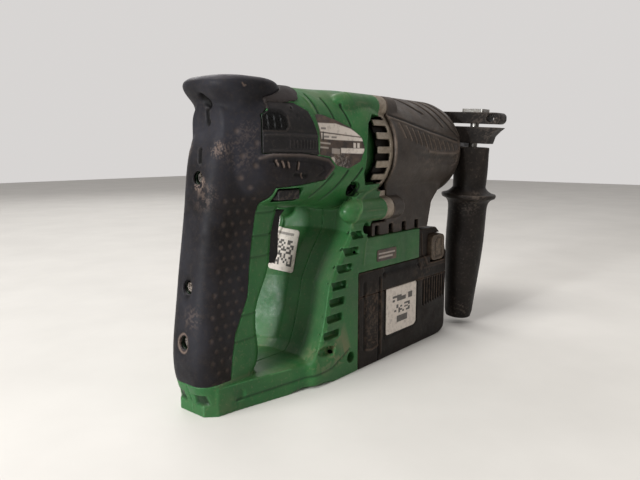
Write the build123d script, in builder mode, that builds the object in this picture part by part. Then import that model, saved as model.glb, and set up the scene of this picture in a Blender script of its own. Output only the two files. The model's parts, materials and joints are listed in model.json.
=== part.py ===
"""Cordless D-handle rotary hammer, built piece by piece.

Millimetres. +X runs forward along the barrel to the drill bit, +Y is the tool's left side, +Z is up.
The origin is on the surface the tool stands on, in the middle of the flat foot under the D-handle.
"""
import os
from math import cos, radians, sin

from build123d import *

# ---- main axes -------------------------------------------------------------------------------
AXIS_Z = 172.0            # barrel, cylinder and bit
MODULE = 1.0              # gear module
PINION_TEETH = 8          # motor pinion
WHEEL_TEETH = 36          # big gear on the layshaft
LAYSHAFT_TEETH = 12       # small gear on the layshaft
SPINDLE_TEETH = 48        # gear round the cylinder
LAYSHAFT_Z = AXIS_Z - MODULE * (LAYSHAFT_TEETH + SPINDLE_TEETH) / 2
MOTOR_Z = LAYSHAFT_Z + MODULE * (PINION_TEETH + WHEEL_TEETH) / 2

# ---- casings ---------------------------------------------------------------------------------
RUBBER = 2.6              # rubber over the handle
WALL = 3.0                # plastic wall
HANDLE_HALF = 18.0        # half width of the D-handle
BODY_HALF = 38.0          # half width of the web, the battery hood and the battery
BASE_FRONT_X = 52.0       # where the web meets the battery
BASE_TOP_Z = 19.0
HOOD_FRONT_X = 142.0
SCOOP_HALF = 13.0         # flat middle of the web's scooped rear wall
SCOOP_DEPTH = 10.0
BEVEL_SIDE = 2.0          # bevel on the web's rear corners, measured across and forward
BEVEL_DEPTH = 3.0
HOOD_LOW_Z = 78.0
HOOD_TOP_Z = 104.0
RING_X = 81.0             # rear face of the aluminium ring
RING_WIDTH = 10.0
RING_R = 42.5
TEETH_X = 70.0            # rear end of the ring's teeth
NECK_R = 36.0             # casing inside the ring's teeth
VENT_HALF = 30.0          # half width of the casing at the bottom of its side vents
NOSE_X = 208.5            # front face of the gear cover
COVER_R = 46.5
COVER_HALF = 36.0         # half width of the gear cover's lower part
TOP_BOSS = (26.0, 205.5)  # Y and Z of the upper screw bosses
LOW_BOSS = (35.0, 126.0)  # Y and Z of the lower screw bosses
BOSS_R = 9.4
SCREW_R = 2.5
SPLIT_BOSS_R = 6.6        # bosses of the screws that hold the casing halves together

KNOB_X = 142.0            # mode knob on the left side
KNOB_Z = 127.0

# ---- front end -------------------------------------------------------------------------------
COLLAR_R = 21.5           # collar that carries the side handle
FLANGE_R = 33.0           # flange of the collar, behind the nose's front wall
COLLAR_END_X = 236.5
CYLINDER_R = 14.0
CYLINDER_BORE = 11.5
FIT = 0.06                # running clearance on the radius
GAP = 0.3                 # plain clearance between bodies
BIT_R = 5.0               # 10 mm plain shank of the bit
TIP_X = 298.0
SLEEVE_TRAVEL = 6.5

# ---- battery ---------------------------------------------------------------------------------
BATTERY_FRONT_X = 200.0
BATTERY_TOP_Z = 77.5
CELL_R = 9.1
CELL_LENGTH = 65.0
LATCH_TRAVEL = 3.0
PAD_FOOT_Y = 30.4         # inner face of a latch pad

# ---- side handle -----------------------------------------------------------------------------
CLAMP_X = 228.0
CLAMP_WIDTH = 16.0
SWIVEL = radians(3.3)     # how far the side handle is turned about the barrel
BOLT_REACH = 43.0         # distance from the barrel axis to the bolt axis
BOLT_R = 4.0
DEPTH_ROD_R = 3.6
DEPTH_ROD_REACH = 61.5
DEPTH_ROD_H = 32.5
LUG_LOW = 9.0
SLOT_LOW = 24.5
SLOT_HIGH = 27.5
BAR_TOP = 38.0

# ---- outlines --------------------------------------------------------------------------------
# Barrel sections from the rear: X, half width, bottom Z, top Z, corner radius.
BARREL_STATIONS = [
    (-62, 15, 148, 203, 14),
    (-50, 24, 139, 209, 20),
    (-36, 31, 134, 213, 24),
    (0, 35.5, 131, 216, 28),
    (45, 39, 127, 217, 32),
    (RING_X, RING_R, 126, AXIS_Z + RING_R, 40),
]
# Lower part of the gear cover from the bottom up: Z, X of its front corners, X of its front.
COVER_STATIONS = [(104, 158, 180), (126, 164, 184), (146, 186, 205), (172, 197, 205)]
# Handle sections from the foot up: Z, rear X, front X, half width, corner radius.
HANDLE_STATIONS = [
    (8, -81, -34, 19, 11),
    (24, -86, -33, HANDLE_HALF, 12),
    (44, -87, -31.5, HANDLE_HALF, 12),
    (68, -84, -30.5, HANDLE_HALF, 12),
    (90, -81, -20, HANDLE_HALF, 12),
    (116, -77, -16, HANDLE_HALF, 12),
    (134, -74, -10, HANDLE_HALF + 0.5, 12),
    (156, -71, -4, HANDLE_HALF + 1, 12),
    (174, -67, -6, HANDLE_HALF + 1, 12),
    (194, -58, -10, HANDLE_HALF + 1, 12),
]
# Horn sections from the neck up: Z, rear X, front X, half width, corner radius.
HORN_STATIONS = [
    (193, -58, -22, 22, 14),
    (201, -61, -18, 23.5, 15),
    (208, -67, -14, 25.5, 17),
    (214, -69.5, -12, 26, 18),
    (217.5, -66, -16, 23.5, 17),
    (219, -60, -22, 18, 13),
]
# Rear outline of the web: the front wall of the hand opening, from the barrel to the base.
WEB_REAR = [(46, 140), (43, 110), (28, 90), (18, 73), (13.5, 52), (9, 37), (4, 25), (-2, 19)]
# Side outline of the rubber: everything behind this line.
RUBBER_EDGE = [
    (-110, 21), (-62, 21), (-60.5, 34), (-57.5, 51), (-51.5, 63), (-46, 75), (-43.5, 96), (-40.5, 116),
    (-38, 130), (-34, 138), (-31, 141), (-30, 147), (-6, 148.5), (17, 151), (26, 160), (20, 166.5),
    (-8, 169.5),
    (-41, 169.5), (-41, 194), (-36, 198), (-36, 230), (-110, 230),
]
SIDE_COVER_EDGE = [
    (-40.5, 170.2), (-8, 170.2), (8, 168.4), (6, 184), (-2, 198), (-14, 203), (-35.5, 203),
    (-35.5, 197.6), (-40.5, 193.6),
]
NAME_PLATE_EDGE = [
    (9, 168.6), (20, 167.3), (27, 161), (39, 158.5), (50, 163.5), (54, 173), (51, 181), (41, 188), (27, 193),
    (12, 196.5),
    (4, 196.5), (7.5, 185),
]

# Rear edge of the vent crescents in front of the ring.
VENT_EDGE = [(66, 199), (58, 191), (57, 180), (56.5, 166), (54, 154), (58, 145.5)]

WINDOW_COUNT = 8
WINDOW_TOP_Z = 108.0
WINDOW_PITCH = 11.9
WINDOW_LENGTH = 17.0
SLOT_COUNT = 24


def cross_section(x, z):
    """Plane across the tool at x, centred at height z, with its own x to the left and y up."""
    return Plane(origin=(x, 0, z), x_dir=(0, 1, 0), z_dir=(1, 0, 0))


def tube(x_start, x_end, r_out, r_in, z=AXIS_Z, y=0.0):
    """Round tube or bar along X."""
    with BuildPart() as piece:
        with BuildSketch(Plane(origin=(x_start, y, z), x_dir=(0, 1, 0), z_dir=(1, 0, 0))):
            Circle(r_out)
            if r_in > 0:
                Circle(r_in, mode=Mode.SUBTRACT)
        extrude(amount=x_end - x_start)
    return piece.part


def turned(points, z=AXIS_Z):
    """Solid of revolution about the X-parallel axis at height z, from (x, radius) points."""
    with BuildPart() as piece:
        with BuildSketch(Plane.XZ):
            Polygon(*[(x, z + r) for x, r in points], align=None)
        revolve(axis=Axis((0, 0, z), (1, 0, 0)))
    return piece.part


def side_slab(points, y_low, y_high):
    """Slab cut to a side outline, from y_low to y_high."""
    with BuildPart() as piece:
        with BuildSketch(Plane.XZ.offset(-y_high)):
            Polygon(*points, align=None)
        extrude(amount=y_high - y_low)
    return piece.part


def block(x_low, x_high, y_low, y_high, z_low, z_high, radius=0.0):
    """Box given by its limits, with rounded upright edges if a radius is given."""
    with BuildPart() as piece:
        with BuildSketch(Plane.XY.offset(z_low)):
            with Locations(((x_low + x_high) / 2, (y_low + y_high) / 2)):
                if radius > 0:
                    RectangleRounded(x_high - x_low, y_high - y_low, radius)
                else:
                    Rectangle(x_high - x_low, y_high - y_low)
        extrude(amount=z_high - z_low)
    return piece.part


def gear(teeth, x_start, x_end, z, bore, turn=0.0):
    """Spur gear along X. A tooth points up when turn is 0."""
    pitch_r = MODULE * teeth / 2
    root_r = pitch_r - 1.1 * MODULE
    tip_r = pitch_r + 0.8 * MODULE
    root_half = 0.78 * MODULE
    tip_half = 0.30 * MODULE
    with BuildPart() as piece:
        with BuildSketch(cross_section(x_start, z)):
            Circle(root_r)
            with PolarLocations(0, teeth, start_angle=90 + turn):
                Polygon(
                    (root_r - 0.6, -root_half), (root_r, -root_half), (tip_r, -tip_half),
                    (tip_r, tip_half), (root_r, root_half), (root_r - 0.6, root_half), align=None,
                )
            if bore > 0:
                Circle(bore, mode=Mode.SUBTRACT)
        extrude(amount=x_end - x_start)
    return piece.part


def write(part, name):
    part.label = name
    export_step(part, f"parts/{name}.step")


# ---- green casing, rubber and plates ---------------------------------------------------------

def barrel_form(inset):
    with BuildPart() as form:
        for x, half, low, high, radius in BARREL_STATIONS:
            start = x + inset if x == BARREL_STATIONS[0][0] else x
            with BuildSketch(cross_section(start, (low + high) / 2)):
                RectangleRounded(2 * (half - inset), high - low - 2 * inset, radius - inset)
        loft()
    return form.part


def upright_form(stations, inset):
    """Loft of rounded rectangles stacked along Z."""
    with BuildPart() as form:
        for index, (z, rear, front, half, radius) in enumerate(stations):
            level = z + inset if index == 0 else z
            with BuildSketch(Plane.XY.offset(level)):
                with Locations(((rear + front) / 2, 0)):
                    RectangleRounded(front - rear - 2 * inset, 2 * (half - inset), radius - inset)
        loft()
    return form.part


def web_outline(inset, forward):
    """Side outline of the web, with its rear wall moved forward by this much."""
    rear = [(x + inset + forward, z) for x, z in WEB_REAR]
    front = [
        (rear[-1][0], inset), (BASE_FRONT_X - inset, inset), (BASE_FRONT_X - inset, HOOD_LOW_Z + inset),
        (HOOD_FRONT_X - inset, HOOD_LOW_Z + inset), (HOOD_FRONT_X - inset, HOOD_TOP_Z - inset),
        (BASE_FRONT_X + 10, HOOD_TOP_Z - inset), (RING_X - inset, 140),
    ]
    return rear + front


def web_form(inset):
    """Web between the hand opening and the battery: scooped behind, with bevelled rear corners."""
    levels = [(SCOOP_HALF, SCOOP_DEPTH), (BODY_HALF - BEVEL_SIDE - inset, 0), (BODY_HALF - inset, BEVEL_DEPTH)]
    with BuildPart() as form:
        with BuildSketch(Plane.XZ.offset(-SCOOP_HALF)):
            Polygon(*web_outline(inset, SCOOP_DEPTH), align=None)
        extrude(amount=2 * SCOOP_HALF)
        for side in (-1, 1):
            for (near, near_shift), (far, far_shift) in zip(levels, levels[1:]):
                with BuildSketch(Plane.XZ.offset(side * near)):
                    Polygon(*web_outline(inset, near_shift), align=None)
                with BuildSketch(Plane.XZ.offset(side * far)):
                    Polygon(*web_outline(inset, far_shift), align=None)
                loft(ruled=True)
    return form.part


def base_form(inset):
    """Flat foot that joins the handle to the web: narrow at the rear, as wide as the web in front."""
    with BuildPart() as form:
        with BuildSketch(Plane.XY.offset(inset)):
            Polygon(
                (-81 + inset, -12), (-74 + inset, -19 + inset), (-60, -21 + inset), (14, -36.5 + inset),
                (BASE_FRONT_X - inset, -BODY_HALF + inset), (BASE_FRONT_X - inset, BODY_HALF - inset),
                (14, 36.5 - inset), (-60, 21 - inset), (-74 + inset, 19 - inset), (-81 + inset, 12), align=None,
            )
        extrude(amount=BASE_TOP_Z - 2 * inset)
    return form.part


def boss_forms(grow, x_start, x_end):
    """The four screw bosses round the ring."""
    forms = []
    for y, z in (TOP_BOSS, LOW_BOSS):
        for side in (-1, 1):
            forms.append(tube(x_start, x_end, BOSS_R + grow, 0, z, side * y))
    return forms


def outer_form():
    form = barrel_form(0) + upright_form(HANDLE_STATIONS, 0) + web_form(0) + base_form(0)
    for boss in boss_forms(0, 46, RING_X):
        form += boss
    return form


def inner_space():
    """Hollow of the casing, thicker walled where the rubber lies over it."""
    deep = RUBBER + WALL
    front_half = block(28, RING_X + 1, -60, 60, 0, 230)
    space = barrel_form(deep) + upright_form(HANDLE_STATIONS, deep) + base_form(WALL + 1)
    space += (barrel_form(WALL) & front_half)
    space += web_form(WALL) - window_backing()
    return space - vent_region(WALL)


def rubber_form():
    """Rubber over the back of the handle and the horn above it, as moulded, without its screw holes."""
    skin = (barrel_form(0) + upright_form(HANDLE_STATIONS, 0)) & side_slab(RUBBER_EDGE, -60, 60)
    skin += upright_form(HORN_STATIONS, 0)
    return skin - (barrel_form(RUBBER) + upright_form(HANDLE_STATIONS, RUBBER))


def grip_cover():
    cover = rubber_form()
    for x, z in HANDLE_SCREWS:
        cover -= tube(x - 20, x + 20, 4.3, 0, z)
    return cover


def skin_panel(edge, depth, side):
    """Thin panel let into the barrel's side, cut to a side outline."""
    reach = (0.5, 60) if side > 0 else (-60, -0.5)
    panel = barrel_form(0) & side_slab(edge, *reach)
    return panel - barrel_form(depth)


def rim_x(z):
    """X of the web's rear rim at height z."""
    for (x_high, z_high), (x_low, z_low) in zip(WEB_REAR, WEB_REAR[1:]):
        if z_low <= z <= z_high:
            return x_low + (x_high - x_low) * (z - z_low) / (z_high - z_low)
    return BASE_FRONT_X


def window_backing():
    """Solid strips behind the window recesses, one inside each side wall."""
    front = [(x + WINDOW_LENGTH + 4, z) for x, z in reversed(WEB_REAR)]
    strip = side_slab(WEB_REAR + front, -60, 60)
    return strip - block(-120, 320, -BODY_HALF + 9, BODY_HALF - 9, 0, 240)


def window_cutters():
    """Recesses down the rear of each side of the web."""
    cutters = []
    for index in range(WINDOW_COUNT):
        z = WINDOW_TOP_Z - WINDOW_PITCH * index
        x = rim_x(z) + 2.4
        for low, high in ((BODY_HALF - 6, BODY_HALF + 1), (-BODY_HALF - 1, -BODY_HALF + 6)):
            cutters.append(block(x, x + WINDOW_LENGTH, low, high, z - 3, z + 3))
    return cutters


def vent_region(grow):
    """Deep crescents in front of the ring's teeth, one on each side of the barrel."""
    outline = [(x - grow, z) for x, z in VENT_EDGE] + [(RING_X + grow, 146 - grow), (RING_X + grow, 198 + grow)]
    region = side_slab(outline, -60, 60) - block(-120, 320, grow - VENT_HALF, VENT_HALF - grow, 0, 240)
    return region - tube(0, RING_X + 10, NECK_R - grow, 0)


def casing():
    """Both casing halves as one body, before it is split down the middle."""
    body = outer_form() - rubber_form()
    for edge, depth, sides in ((SIDE_COVER_EDGE, 2.0, (-1, 1)), (NAME_PLATE_EDGE, 1.0, (-1,))):
        for side in sides:
            body -= skin_panel(edge, depth, side)
    body -= inner_space()
    for cutter in window_cutters():
        body -= cutter
    body -= vent_region(0)
    body -= block(-30, -4, -8.6, 8.6, 89.5, 131)             # trigger slot
    body -= block(-28.5, -5, -60, 60, 137.5, 146.5)          # reversing lever slot
    body -= block(58, HOOD_FRONT_X + 1, -26, 26, HOOD_LOW_Z - 1, HOOD_LOW_Z + 8)    # rail mouth
    body -= block(58, HOOD_FRONT_X + 1, -31, 31, HOOD_LOW_Z + WALL, HOOD_TOP_Z - WALL)
    for y, z in (TOP_BOSS, LOW_BOSS):
        for side in (-1, 1):
            body -= tube(60, RING_X + 1, SCREW_R, 0, z, side * y)
    for x, z in HANDLE_SCREWS:
        body -= tube(x - 20, x + 3.5, 4.3, 0, z)
        body -= tube(x - 20, x + 15, 2.0, 0, z)
    for x, z, half in SPLIT_SCREWS:
        body += tube_y(x, z, -half, half, SPLIT_BOSS_R) & outer_form()
        body -= tube_y(x, z, -half - 6, -half + 11, 4.4)
        body -= tube_y(x, z, -half, half - 5, 2.0)
    body -= tube_y(47, 143, -60, -33, 5.6)
    return body


def casing_halves():
    body = casing()
    right = body & block(-120, 320, -80, 0, -1, 240)
    left = body & block(-120, 320, 0, 80, -1, 240)
    return right, left


# ---- gear cover, ring and front end ----------------------------------------------------------

def gear_cover_form(inset):
    """Round cover over the hammer mechanism, with a deep lower part for the layshaft."""
    start = RING_X + RING_WIDTH
    round_part = turned([
        (start, 0), (start, COVER_R - 1.5 - inset), (110, COVER_R - inset), (192, COVER_R - 1 - inset),
        (202, COVER_R - 3 - inset), (NOSE_X - inset, COVER_R - 6 - inset), (NOSE_X - inset, 0),
    ])
    with BuildPart() as lower:
        for index, (z, corner, middle) in enumerate(COVER_STATIONS):
            level = z + inset if index == 0 else z
            half = COVER_HALF - inset
            with BuildSketch(Plane.XY.offset(level)):
                Polygon(
                    (72 + inset, -half), (corner - inset, -half), (middle - inset, -12), (middle - inset, 12),
                    (corner - inset, half), (72 + inset, half), align=None,
                )
        loft(ruled=True)
    lower = lower.part - block(60, start, -60, 60, 115 - inset, 240)
    return round_part + lower


def gear_cover():
    cover = gear_cover_form(0) - gear_cover_form(WALL)
    start = RING_X + RING_WIDTH
    for y, z in (TOP_BOSS, LOW_BOSS):
        for side in (-1, 1):
            ear = tube(start, start + 16, BOSS_R, 0, z, side * y)
            cover += ear - gear_cover_form(WALL)
            cover -= tube(start - 1, start + 12, SCREW_R - 0.3, 0, z, side * y)
            cover -= tube(start + 12, start + 20, 4.6, 0, z, side * y)
    cover -= tube(NOSE_X - 10, NOSE_X + 1, COLLAR_R + 0.02, 0)
    cover -= barrel_clear()
    for index in range(4):
        x = 79 + 20 * index
        cover -= block(x - 3, x + 3, -60, 60, HOOD_TOP_Z - 1, HOOD_TOP_Z + 8.5)
    cover -= tube_y(KNOB_X, KNOB_Z, 20, 60, 7.2)
    return cover


def barrel_clear():
    """Room for the casing behind the ring and under the gear cover's rear edge."""
    return web_form(0) + barrel_form(0)


def tube_y(x, z, y_start, y_end, r_out, r_in=0.0):
    """Round tube or bar along Y."""
    with BuildPart() as piece:
        with BuildSketch(Plane(origin=(x, y_start, z), x_dir=(1, 0, 0), z_dir=(0, 1, 0))):
            Circle(r_out)
            if r_in > 0:
                Circle(r_in, mode=Mode.SUBTRACT)
        extrude(amount=y_end - y_start)
    return piece.part


def inner_cover():
    """Aluminium casting: slotted ring outside, bearing plate inside, four screw lugs."""
    cast = tube(RING_X, RING_X + RING_WIDTH, RING_R, RING_R - 4)
    cast += tube(RING_X + 6, RING_X + RING_WIDTH, RING_R - 2, 0)
    keep = block(TEETH_X, RING_X + RING_WIDTH, -60, 60, 146.3, 197.7)
    behind = block(TEETH_X, RING_X, -VENT_HALF - GAP, VENT_HALF + GAP, 140, 204)
    cast += tube(TEETH_X, RING_X, RING_R, RING_R - 4) & (keep - behind)
    for y, z in (TOP_BOSS, LOW_BOSS):
        for side in (-1, 1):
            cast += tube(RING_X, RING_X + RING_WIDTH, BOSS_R, 0, z, side * y)
    cast += block(RING_X, RING_X + RING_WIDTH, -LOW_BOSS[0], LOW_BOSS[0], LOW_BOSS[1] - 5, LOW_BOSS[1] + 14)
    with BuildPart() as slots:
        with BuildSketch(cross_section(TEETH_X - 1, AXIS_Z)):
            with PolarLocations(RING_R, SLOT_COUNT, start_angle=360 / SLOT_COUNT / 2):
                Rectangle(6, 5.6)
        extrude(amount=RING_X + 6.5 - TEETH_X)
    cast -= (slots.part & keep)
    for y, z in (TOP_BOSS, LOW_BOSS):
        for side in (-1, 1):
            cast -= tube(RING_X - 1, RING_X + RING_WIDTH + 1, SCREW_R + 0.3, 0, z, side * y)
    cast -= tube(RING_X - 1, RING_X + 20, 8.0, 0, MOTOR_Z)
    cast -= tube(RING_X - 1, RING_X + 20, 8.0, 0, LAYSHAFT_Z)
    return cast


def front_collar():
    """Collar the side handle grips; it carries the front bearing inside."""
    return turned([
        (200, 16.4), (200, FLANGE_R), (NOSE_X - WALL, FLANGE_R), (NOSE_X - WALL, COLLAR_R),
        (COLLAR_END_X - 3, COLLAR_R), (COLLAR_END_X, COLLAR_R - 2.5), (COLLAR_END_X, 15.5),
        (214, 15.5), (214, 16.4),
    ])


def bearing_bridge():
    """Plate inside the gear cover that holds the front layshaft bearing and the cylinder bearing."""
    plate = tube(168, 174, 42.5, 0)
    plate += block(168, 174, -14, 14, LAYSHAFT_Z - 12, LAYSHAFT_Z + 8)
    plate -= tube(160, 180, 20.0, 0)
    plate -= tube(160, 180, 8.0, 0, LAYSHAFT_Z)
    return plate


def ball_bearing(x_start, x_end, r_out, r_in, z):
    """Shielded ball bearing shown as one ring with a groove on each face."""
    middle = (r_out + r_in) / 2
    band = (r_out - r_in) / 6
    bearing = tube(x_start, x_end, r_out, r_in, z)
    bearing -= tube(x_start - 1, x_start + 0.5, middle + band, middle - band, z)
    bearing -= tube(x_end - 0.5, x_end + 1, middle + band, middle - band, z)
    return bearing


# ---- motor -----------------------------------------------------------------------------------

def motor_can():
    can = tube(12, 58, 23, 21, MOTOR_Z)
    can += tube(12, 14, 21, 6, MOTOR_Z)
    return can


def magnets():
    ring = tube(17, 55, 21, 18.5, MOTOR_Z)
    for side in (-1, 1):
        ring -= block(16, 56, -30, 30, MOTOR_Z + side * 21 - 11, MOTOR_Z + side * 21 + 11)
    return ring


def armature_core():
    core = tube(20, 52, 17.8, 2.5, MOTOR_Z)
    with BuildPart() as slots:
        with BuildSketch(cross_section(19, MOTOR_Z)):
            with PolarLocations(15.5, 12):
                Rectangle(8, 2.2)
        extrude(amount=34)
    return core - slots.part


def motor_shaft():
    shaft = tube(-12, 101, 2.5, 0, MOTOR_Z)
    return shaft + gear(PINION_TEETH, 91.8, 101, MOTOR_Z, 0)


def commutator():
    return tube(-2, 11, 8, 2.5, MOTOR_Z)


def cooling_fan():
    fan = tube(61, 63, 27, 2.5, MOTOR_Z) + tube(63, 74, 6, 2.5, MOTOR_Z)
    with BuildPart() as blades:
        with BuildSketch(cross_section(62.5, MOTOR_Z)):
            with PolarLocations(17.5, 16):
                Rectangle(16, 1.4, rotation=18)
        extrude(amount=10)
    return fan + (blades.part & tube(60, 80, 27, 5, MOTOR_Z))


def brush_gear():
    """Brush holder ring with two carbon brushes against the commutator."""
    holder = tube(-1, 10, 21, 18, MOTOR_Z)
    for side in (-1, 1):
        near, far = sorted((side * 8.3, side * 19))
        holder += block(0, 9, near, far, MOTOR_Z - 3.5, MOTOR_Z + 3.5)
    return holder


# ---- hammer mechanism ------------------------------------------------------------------------

def layshaft():
    shaft = tube(84, 175, 4, 0, LAYSHAFT_Z)
    return shaft + gear(LAYSHAFT_TEETH, 149, 159, LAYSHAFT_Z, 0)


def layshaft_gear():
    return gear(WHEEL_TEETH, 92.5, 99.5, LAYSHAFT_Z, 4, 180 / WHEEL_TEETH)


def swash_hub():
    """Slanted hub that rocks the swash ring as the layshaft turns."""
    return tube(105, 121, 8.6, 4, LAYSHAFT_Z)


def swash_ring():
    """Ring round the hub with the finger that drives the piston."""
    ring = tube(109, 117, 13, 9.6, LAYSHAFT_Z)
    with BuildPart() as finger:
        with BuildSketch(Plane(origin=(113, 0, LAYSHAFT_Z + 11.5), z_dir=(0, 0, 1))):
            Circle(2.8)
        extrude(amount=AXIS_Z + 4 - LAYSHAFT_Z - 11.5)
    ring += tube_y(113, LAYSHAFT_Z, 12, 15, 2) + tube_y(113, LAYSHAFT_Z, -15, -12, 2)    # rocking pins
    return ring + finger.part


def piston():
    """Hollow piston, open to the front, with a cross eye at the rear for the swash finger."""
    body = tube(107, 152, CYLINDER_BORE - FIT, 0)
    body -= tube(123, 153, 9.0, 0)
    eye = block(108.4, 117.6, -3.4, 3.4, AXIS_Z - 14, AXIS_Z + 14)
    body -= eye
    return body


def striker():
    return turned([(129, 0), (129, 9.0 - FIT), (134, 9.0 - FIT), (134, 7.8), (136, 7.8), (136, 9.0 - FIT),
                   (144, 9.0 - FIT), (146, 5.5), (155, 5.5), (155, 0)])


def striker_o_ring():
    return tube(134.1, 135.9, 8.8, 7.8)


def impact_bolt():
    return turned([(160, 0), (160, 5), (166, 5), (168, 8.2), (180, 8.2), (182, 5), (212, 5), (212, 0)])


def cylinder():
    """Cylinder that the piston slides in; it turns with the bit."""
    return turned([(126, CYLINDER_BORE), (126, CYLINDER_R), (200, CYLINDER_R), (200, 8.6), (165, 8.6),
                   (163, CYLINDER_BORE)])


def spindle_gear():
    return gear(SPINDLE_TEETH, 150, 158, AXIS_Z, CYLINDER_R, 180 / SPINDLE_TEETH)


def tool_holder():
    """Steel sleeve that takes the bit, with a window for the locking ball."""
    holder = turned([
        (200, 8.6), (200, 13), (222, 13), (222, 12.5), (TIP_X - 8, 12.5), (TIP_X - 8, BIT_R + FIT),
        (216, BIT_R + FIT), (216, 8.6),
    ])
    with BuildPart() as window:
        with BuildSketch(Plane(origin=(264, 0, AXIS_Z), z_dir=(0, 0, 1))):
            SlotOverall(14, 7.4)
        extrude(amount=14)
    return holder - window.part


def locking_ball():
    with BuildPart() as ball:
        with Locations((264, 0, AXIS_Z + 8.75)):
            Sphere(3.5)
    return ball.part


def locking_sleeve():
    """Sleeve that is pulled back to free the bit."""
    sleeve = turned([
        (244, 13.6), (244, 17.5), (248, 19.5), (262, 18.2), (276, 19.5), (280, 18.5), (280, 12.9), (276, 12.9),
        (276, 13.6),
    ])
    with BuildPart() as flutes:
        with BuildSketch(cross_section(249, AXIS_Z)):
            with PolarLocations(20.6, 18):
                Circle(1.7)
        extrude(amount=26)
    return sleeve - flutes.part


def sleeve_spring():
    """Spring that holds the locking sleeve forward: its pressed length, as the tube its coils fill."""
    return tube(250, 269.2, 13.3, 12.56)


def dust_cap():
    return turned([
        (281.5, 12.5), (281.5, 16.5), (285, 17.6), (292, 15.5), (TIP_X, 11), (TIP_X, 6.2), (TIP_X - 8, 6.2),
        (TIP_X - 8, 12.5),
    ])


def mode_knob():
    """Knob on the left side that picks hammer, drill or both."""
    face = COVER_HALF + GAP
    knob = tube_y(KNOB_X, KNOB_Z, face, face + 6, 13.5) + tube_y(KNOB_X, KNOB_Z, face - 7, face + 1, 6.9)
    wing = block(KNOB_X - 12.5, KNOB_X + 12.5, face + 5, face + 8, KNOB_Z - 4, KNOB_Z + 4)
    return knob + wing - block(KNOB_X - 11, KNOB_X - 7, face + 7.2, face + 9, KNOB_Z - 1, KNOB_Z + 1)


# ---- controls and electrics in the handle ----------------------------------------------------

def trigger():
    """Trigger blade with a short hook at its top."""
    blade = [(-24, 93), (-10, 91.5), (-6.5, 97), (-5.5, 115), (-3.5, 125), (1.5, 129.2), (-24, 129.2)]
    return side_slab(blade, -8, 8)


def trigger_spring():
    return tube(-32.6, -30.4, 4, 2.8, 111)


def reversing_lever():
    """Push-through bar under the barrel, with a rounded pad at each end."""
    bar = block(-25, -9, -24, 24, 139.6, 144.4)
    for side in (-1, 1):
        bar += block(-27.2, -6.6, min(side * 23, side * 30), max(side * 23, side * 30), 138.6, 145.4)
    return bar


def switch_unit():
    return block(-62, -33, -9, 9, 99, 133) + block(-58, -40, -6, 6, 133, 136.5)


def control_board():
    board = block(-67, -42, -0.8, 0.8, 28, 84)
    board += block(-64, -46, 0.8, 9, 34, 58)
    board += block(-63, -50, -9, -0.8, 62, 78)
    return board


def terminal_block():
    """Contact carrier at the back of the battery hood, with three blades."""
    carrier = block(60, 66, -21, 21, 84.5, 99)
    for y in (-12, 0, 12):
        carrier += block(66, 80, y - 0.5, y + 0.5, 87, 96)
    return carrier


def rear_brace():
    """Plastic web inside the barrel that carries the rear motor bearing."""
    brace = block(-12, -4, -24, 24, 150, 180)
    return brace - tube(-13, -3, 8, 0, MOTOR_Z)


def motor_bearings():
    return ball_bearing(-11, -5, 8, 2.5, MOTOR_Z) + ball_bearing(82, 89, 8, 2.5, MOTOR_Z)


def layshaft_bearings():
    return ball_bearing(85, 91, 8, 4, LAYSHAFT_Z) + ball_bearing(168, 174, 8, 4, LAYSHAFT_Z)


def cylinder_bearings():
    return ball_bearing(168, 174, 20, CYLINDER_R, AXIS_Z) + ball_bearing(203, 212, 16.4, 13, AXIS_Z)


# ---- battery ---------------------------------------------------------------------------------

def battery_outline(inset, z_low, z_high):
    """Battery body between two heights: rounded front corners and a rounded toe."""
    with BuildPart() as form:
        with BuildSketch(Plane.XZ.offset(-(BODY_HALF - inset))) as side:
            with Locations(((BASE_FRONT_X + 0.5 + BATTERY_FRONT_X) / 2, BATTERY_TOP_Z / 2)):
                Rectangle(BATTERY_FRONT_X - BASE_FRONT_X - 0.5 - 2 * inset, BATTERY_TOP_Z - 2 * inset)
            toe = side.vertices().group_by(Axis.Y)[0].sort_by(Axis.X)[-1]
            fillet(toe, 24 - inset)
        extrude(amount=2 * (BODY_HALF - inset))
    with BuildPart() as plan:
        with BuildSketch(Plane.XY.offset(z_low)) as top:
            with Locations(((BASE_FRONT_X + BATTERY_FRONT_X) / 2, 0)):
                Rectangle(BATTERY_FRONT_X - BASE_FRONT_X - 2 * inset, 2 * (BODY_HALF - inset))
            fillet(top.vertices().group_by(Axis.X)[-1], 13 - inset)
        extrude(amount=z_high - z_low)
    return form.part & plan.part


def battery_case():
    return battery_outline(0, -1, 58) - battery_outline(2.5, 2.5, 59)


def battery_cover():
    """Top half of the battery: rail tower at the back, raised latch block in front."""
    cover = battery_outline(0, 58, 90) - battery_outline(2.5, 57, 100)
    cover += block(69, 150, -25.4, 25.4, BATTERY_TOP_Z - 2.5, 82)
    cover += block(69, 150, -30.4, 30.4, 81.6, 97)
    for y in (-12, 0, 12):
        cover -= block(68, 83, y - 1.2, y + 1.2, 86, 98)
    cover += side_slab([(143, 74), (143, 102), (176, 102), (192, 90), (196, 74)], -35, 35)
    upper_room = side_slab([(150, 60), (150, 98), (174, 98), (188, 88), (191, 60)], -31.5, 31.5)
    cover -= upper_room & block(150, 192, -31.5, 31.5, 76, 99)
    pressed = PAD_FOOT_Y - LATCH_TRAVEL - GAP
    for low, high in ((pressed, 40), (-40, -pressed)):
        cover -= block(162, 188, low, high, 70.5, 96.5)
    return cover


def battery_cells():
    cells = []
    for column in range(7):
        for row in range(2):
            cells.append(tube_y(67 + 19.1 * column, 14.5 + 20 * row, -CELL_LENGTH / 2, CELL_LENGTH / 2, CELL_R))
    return Compound(children=cells)


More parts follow.
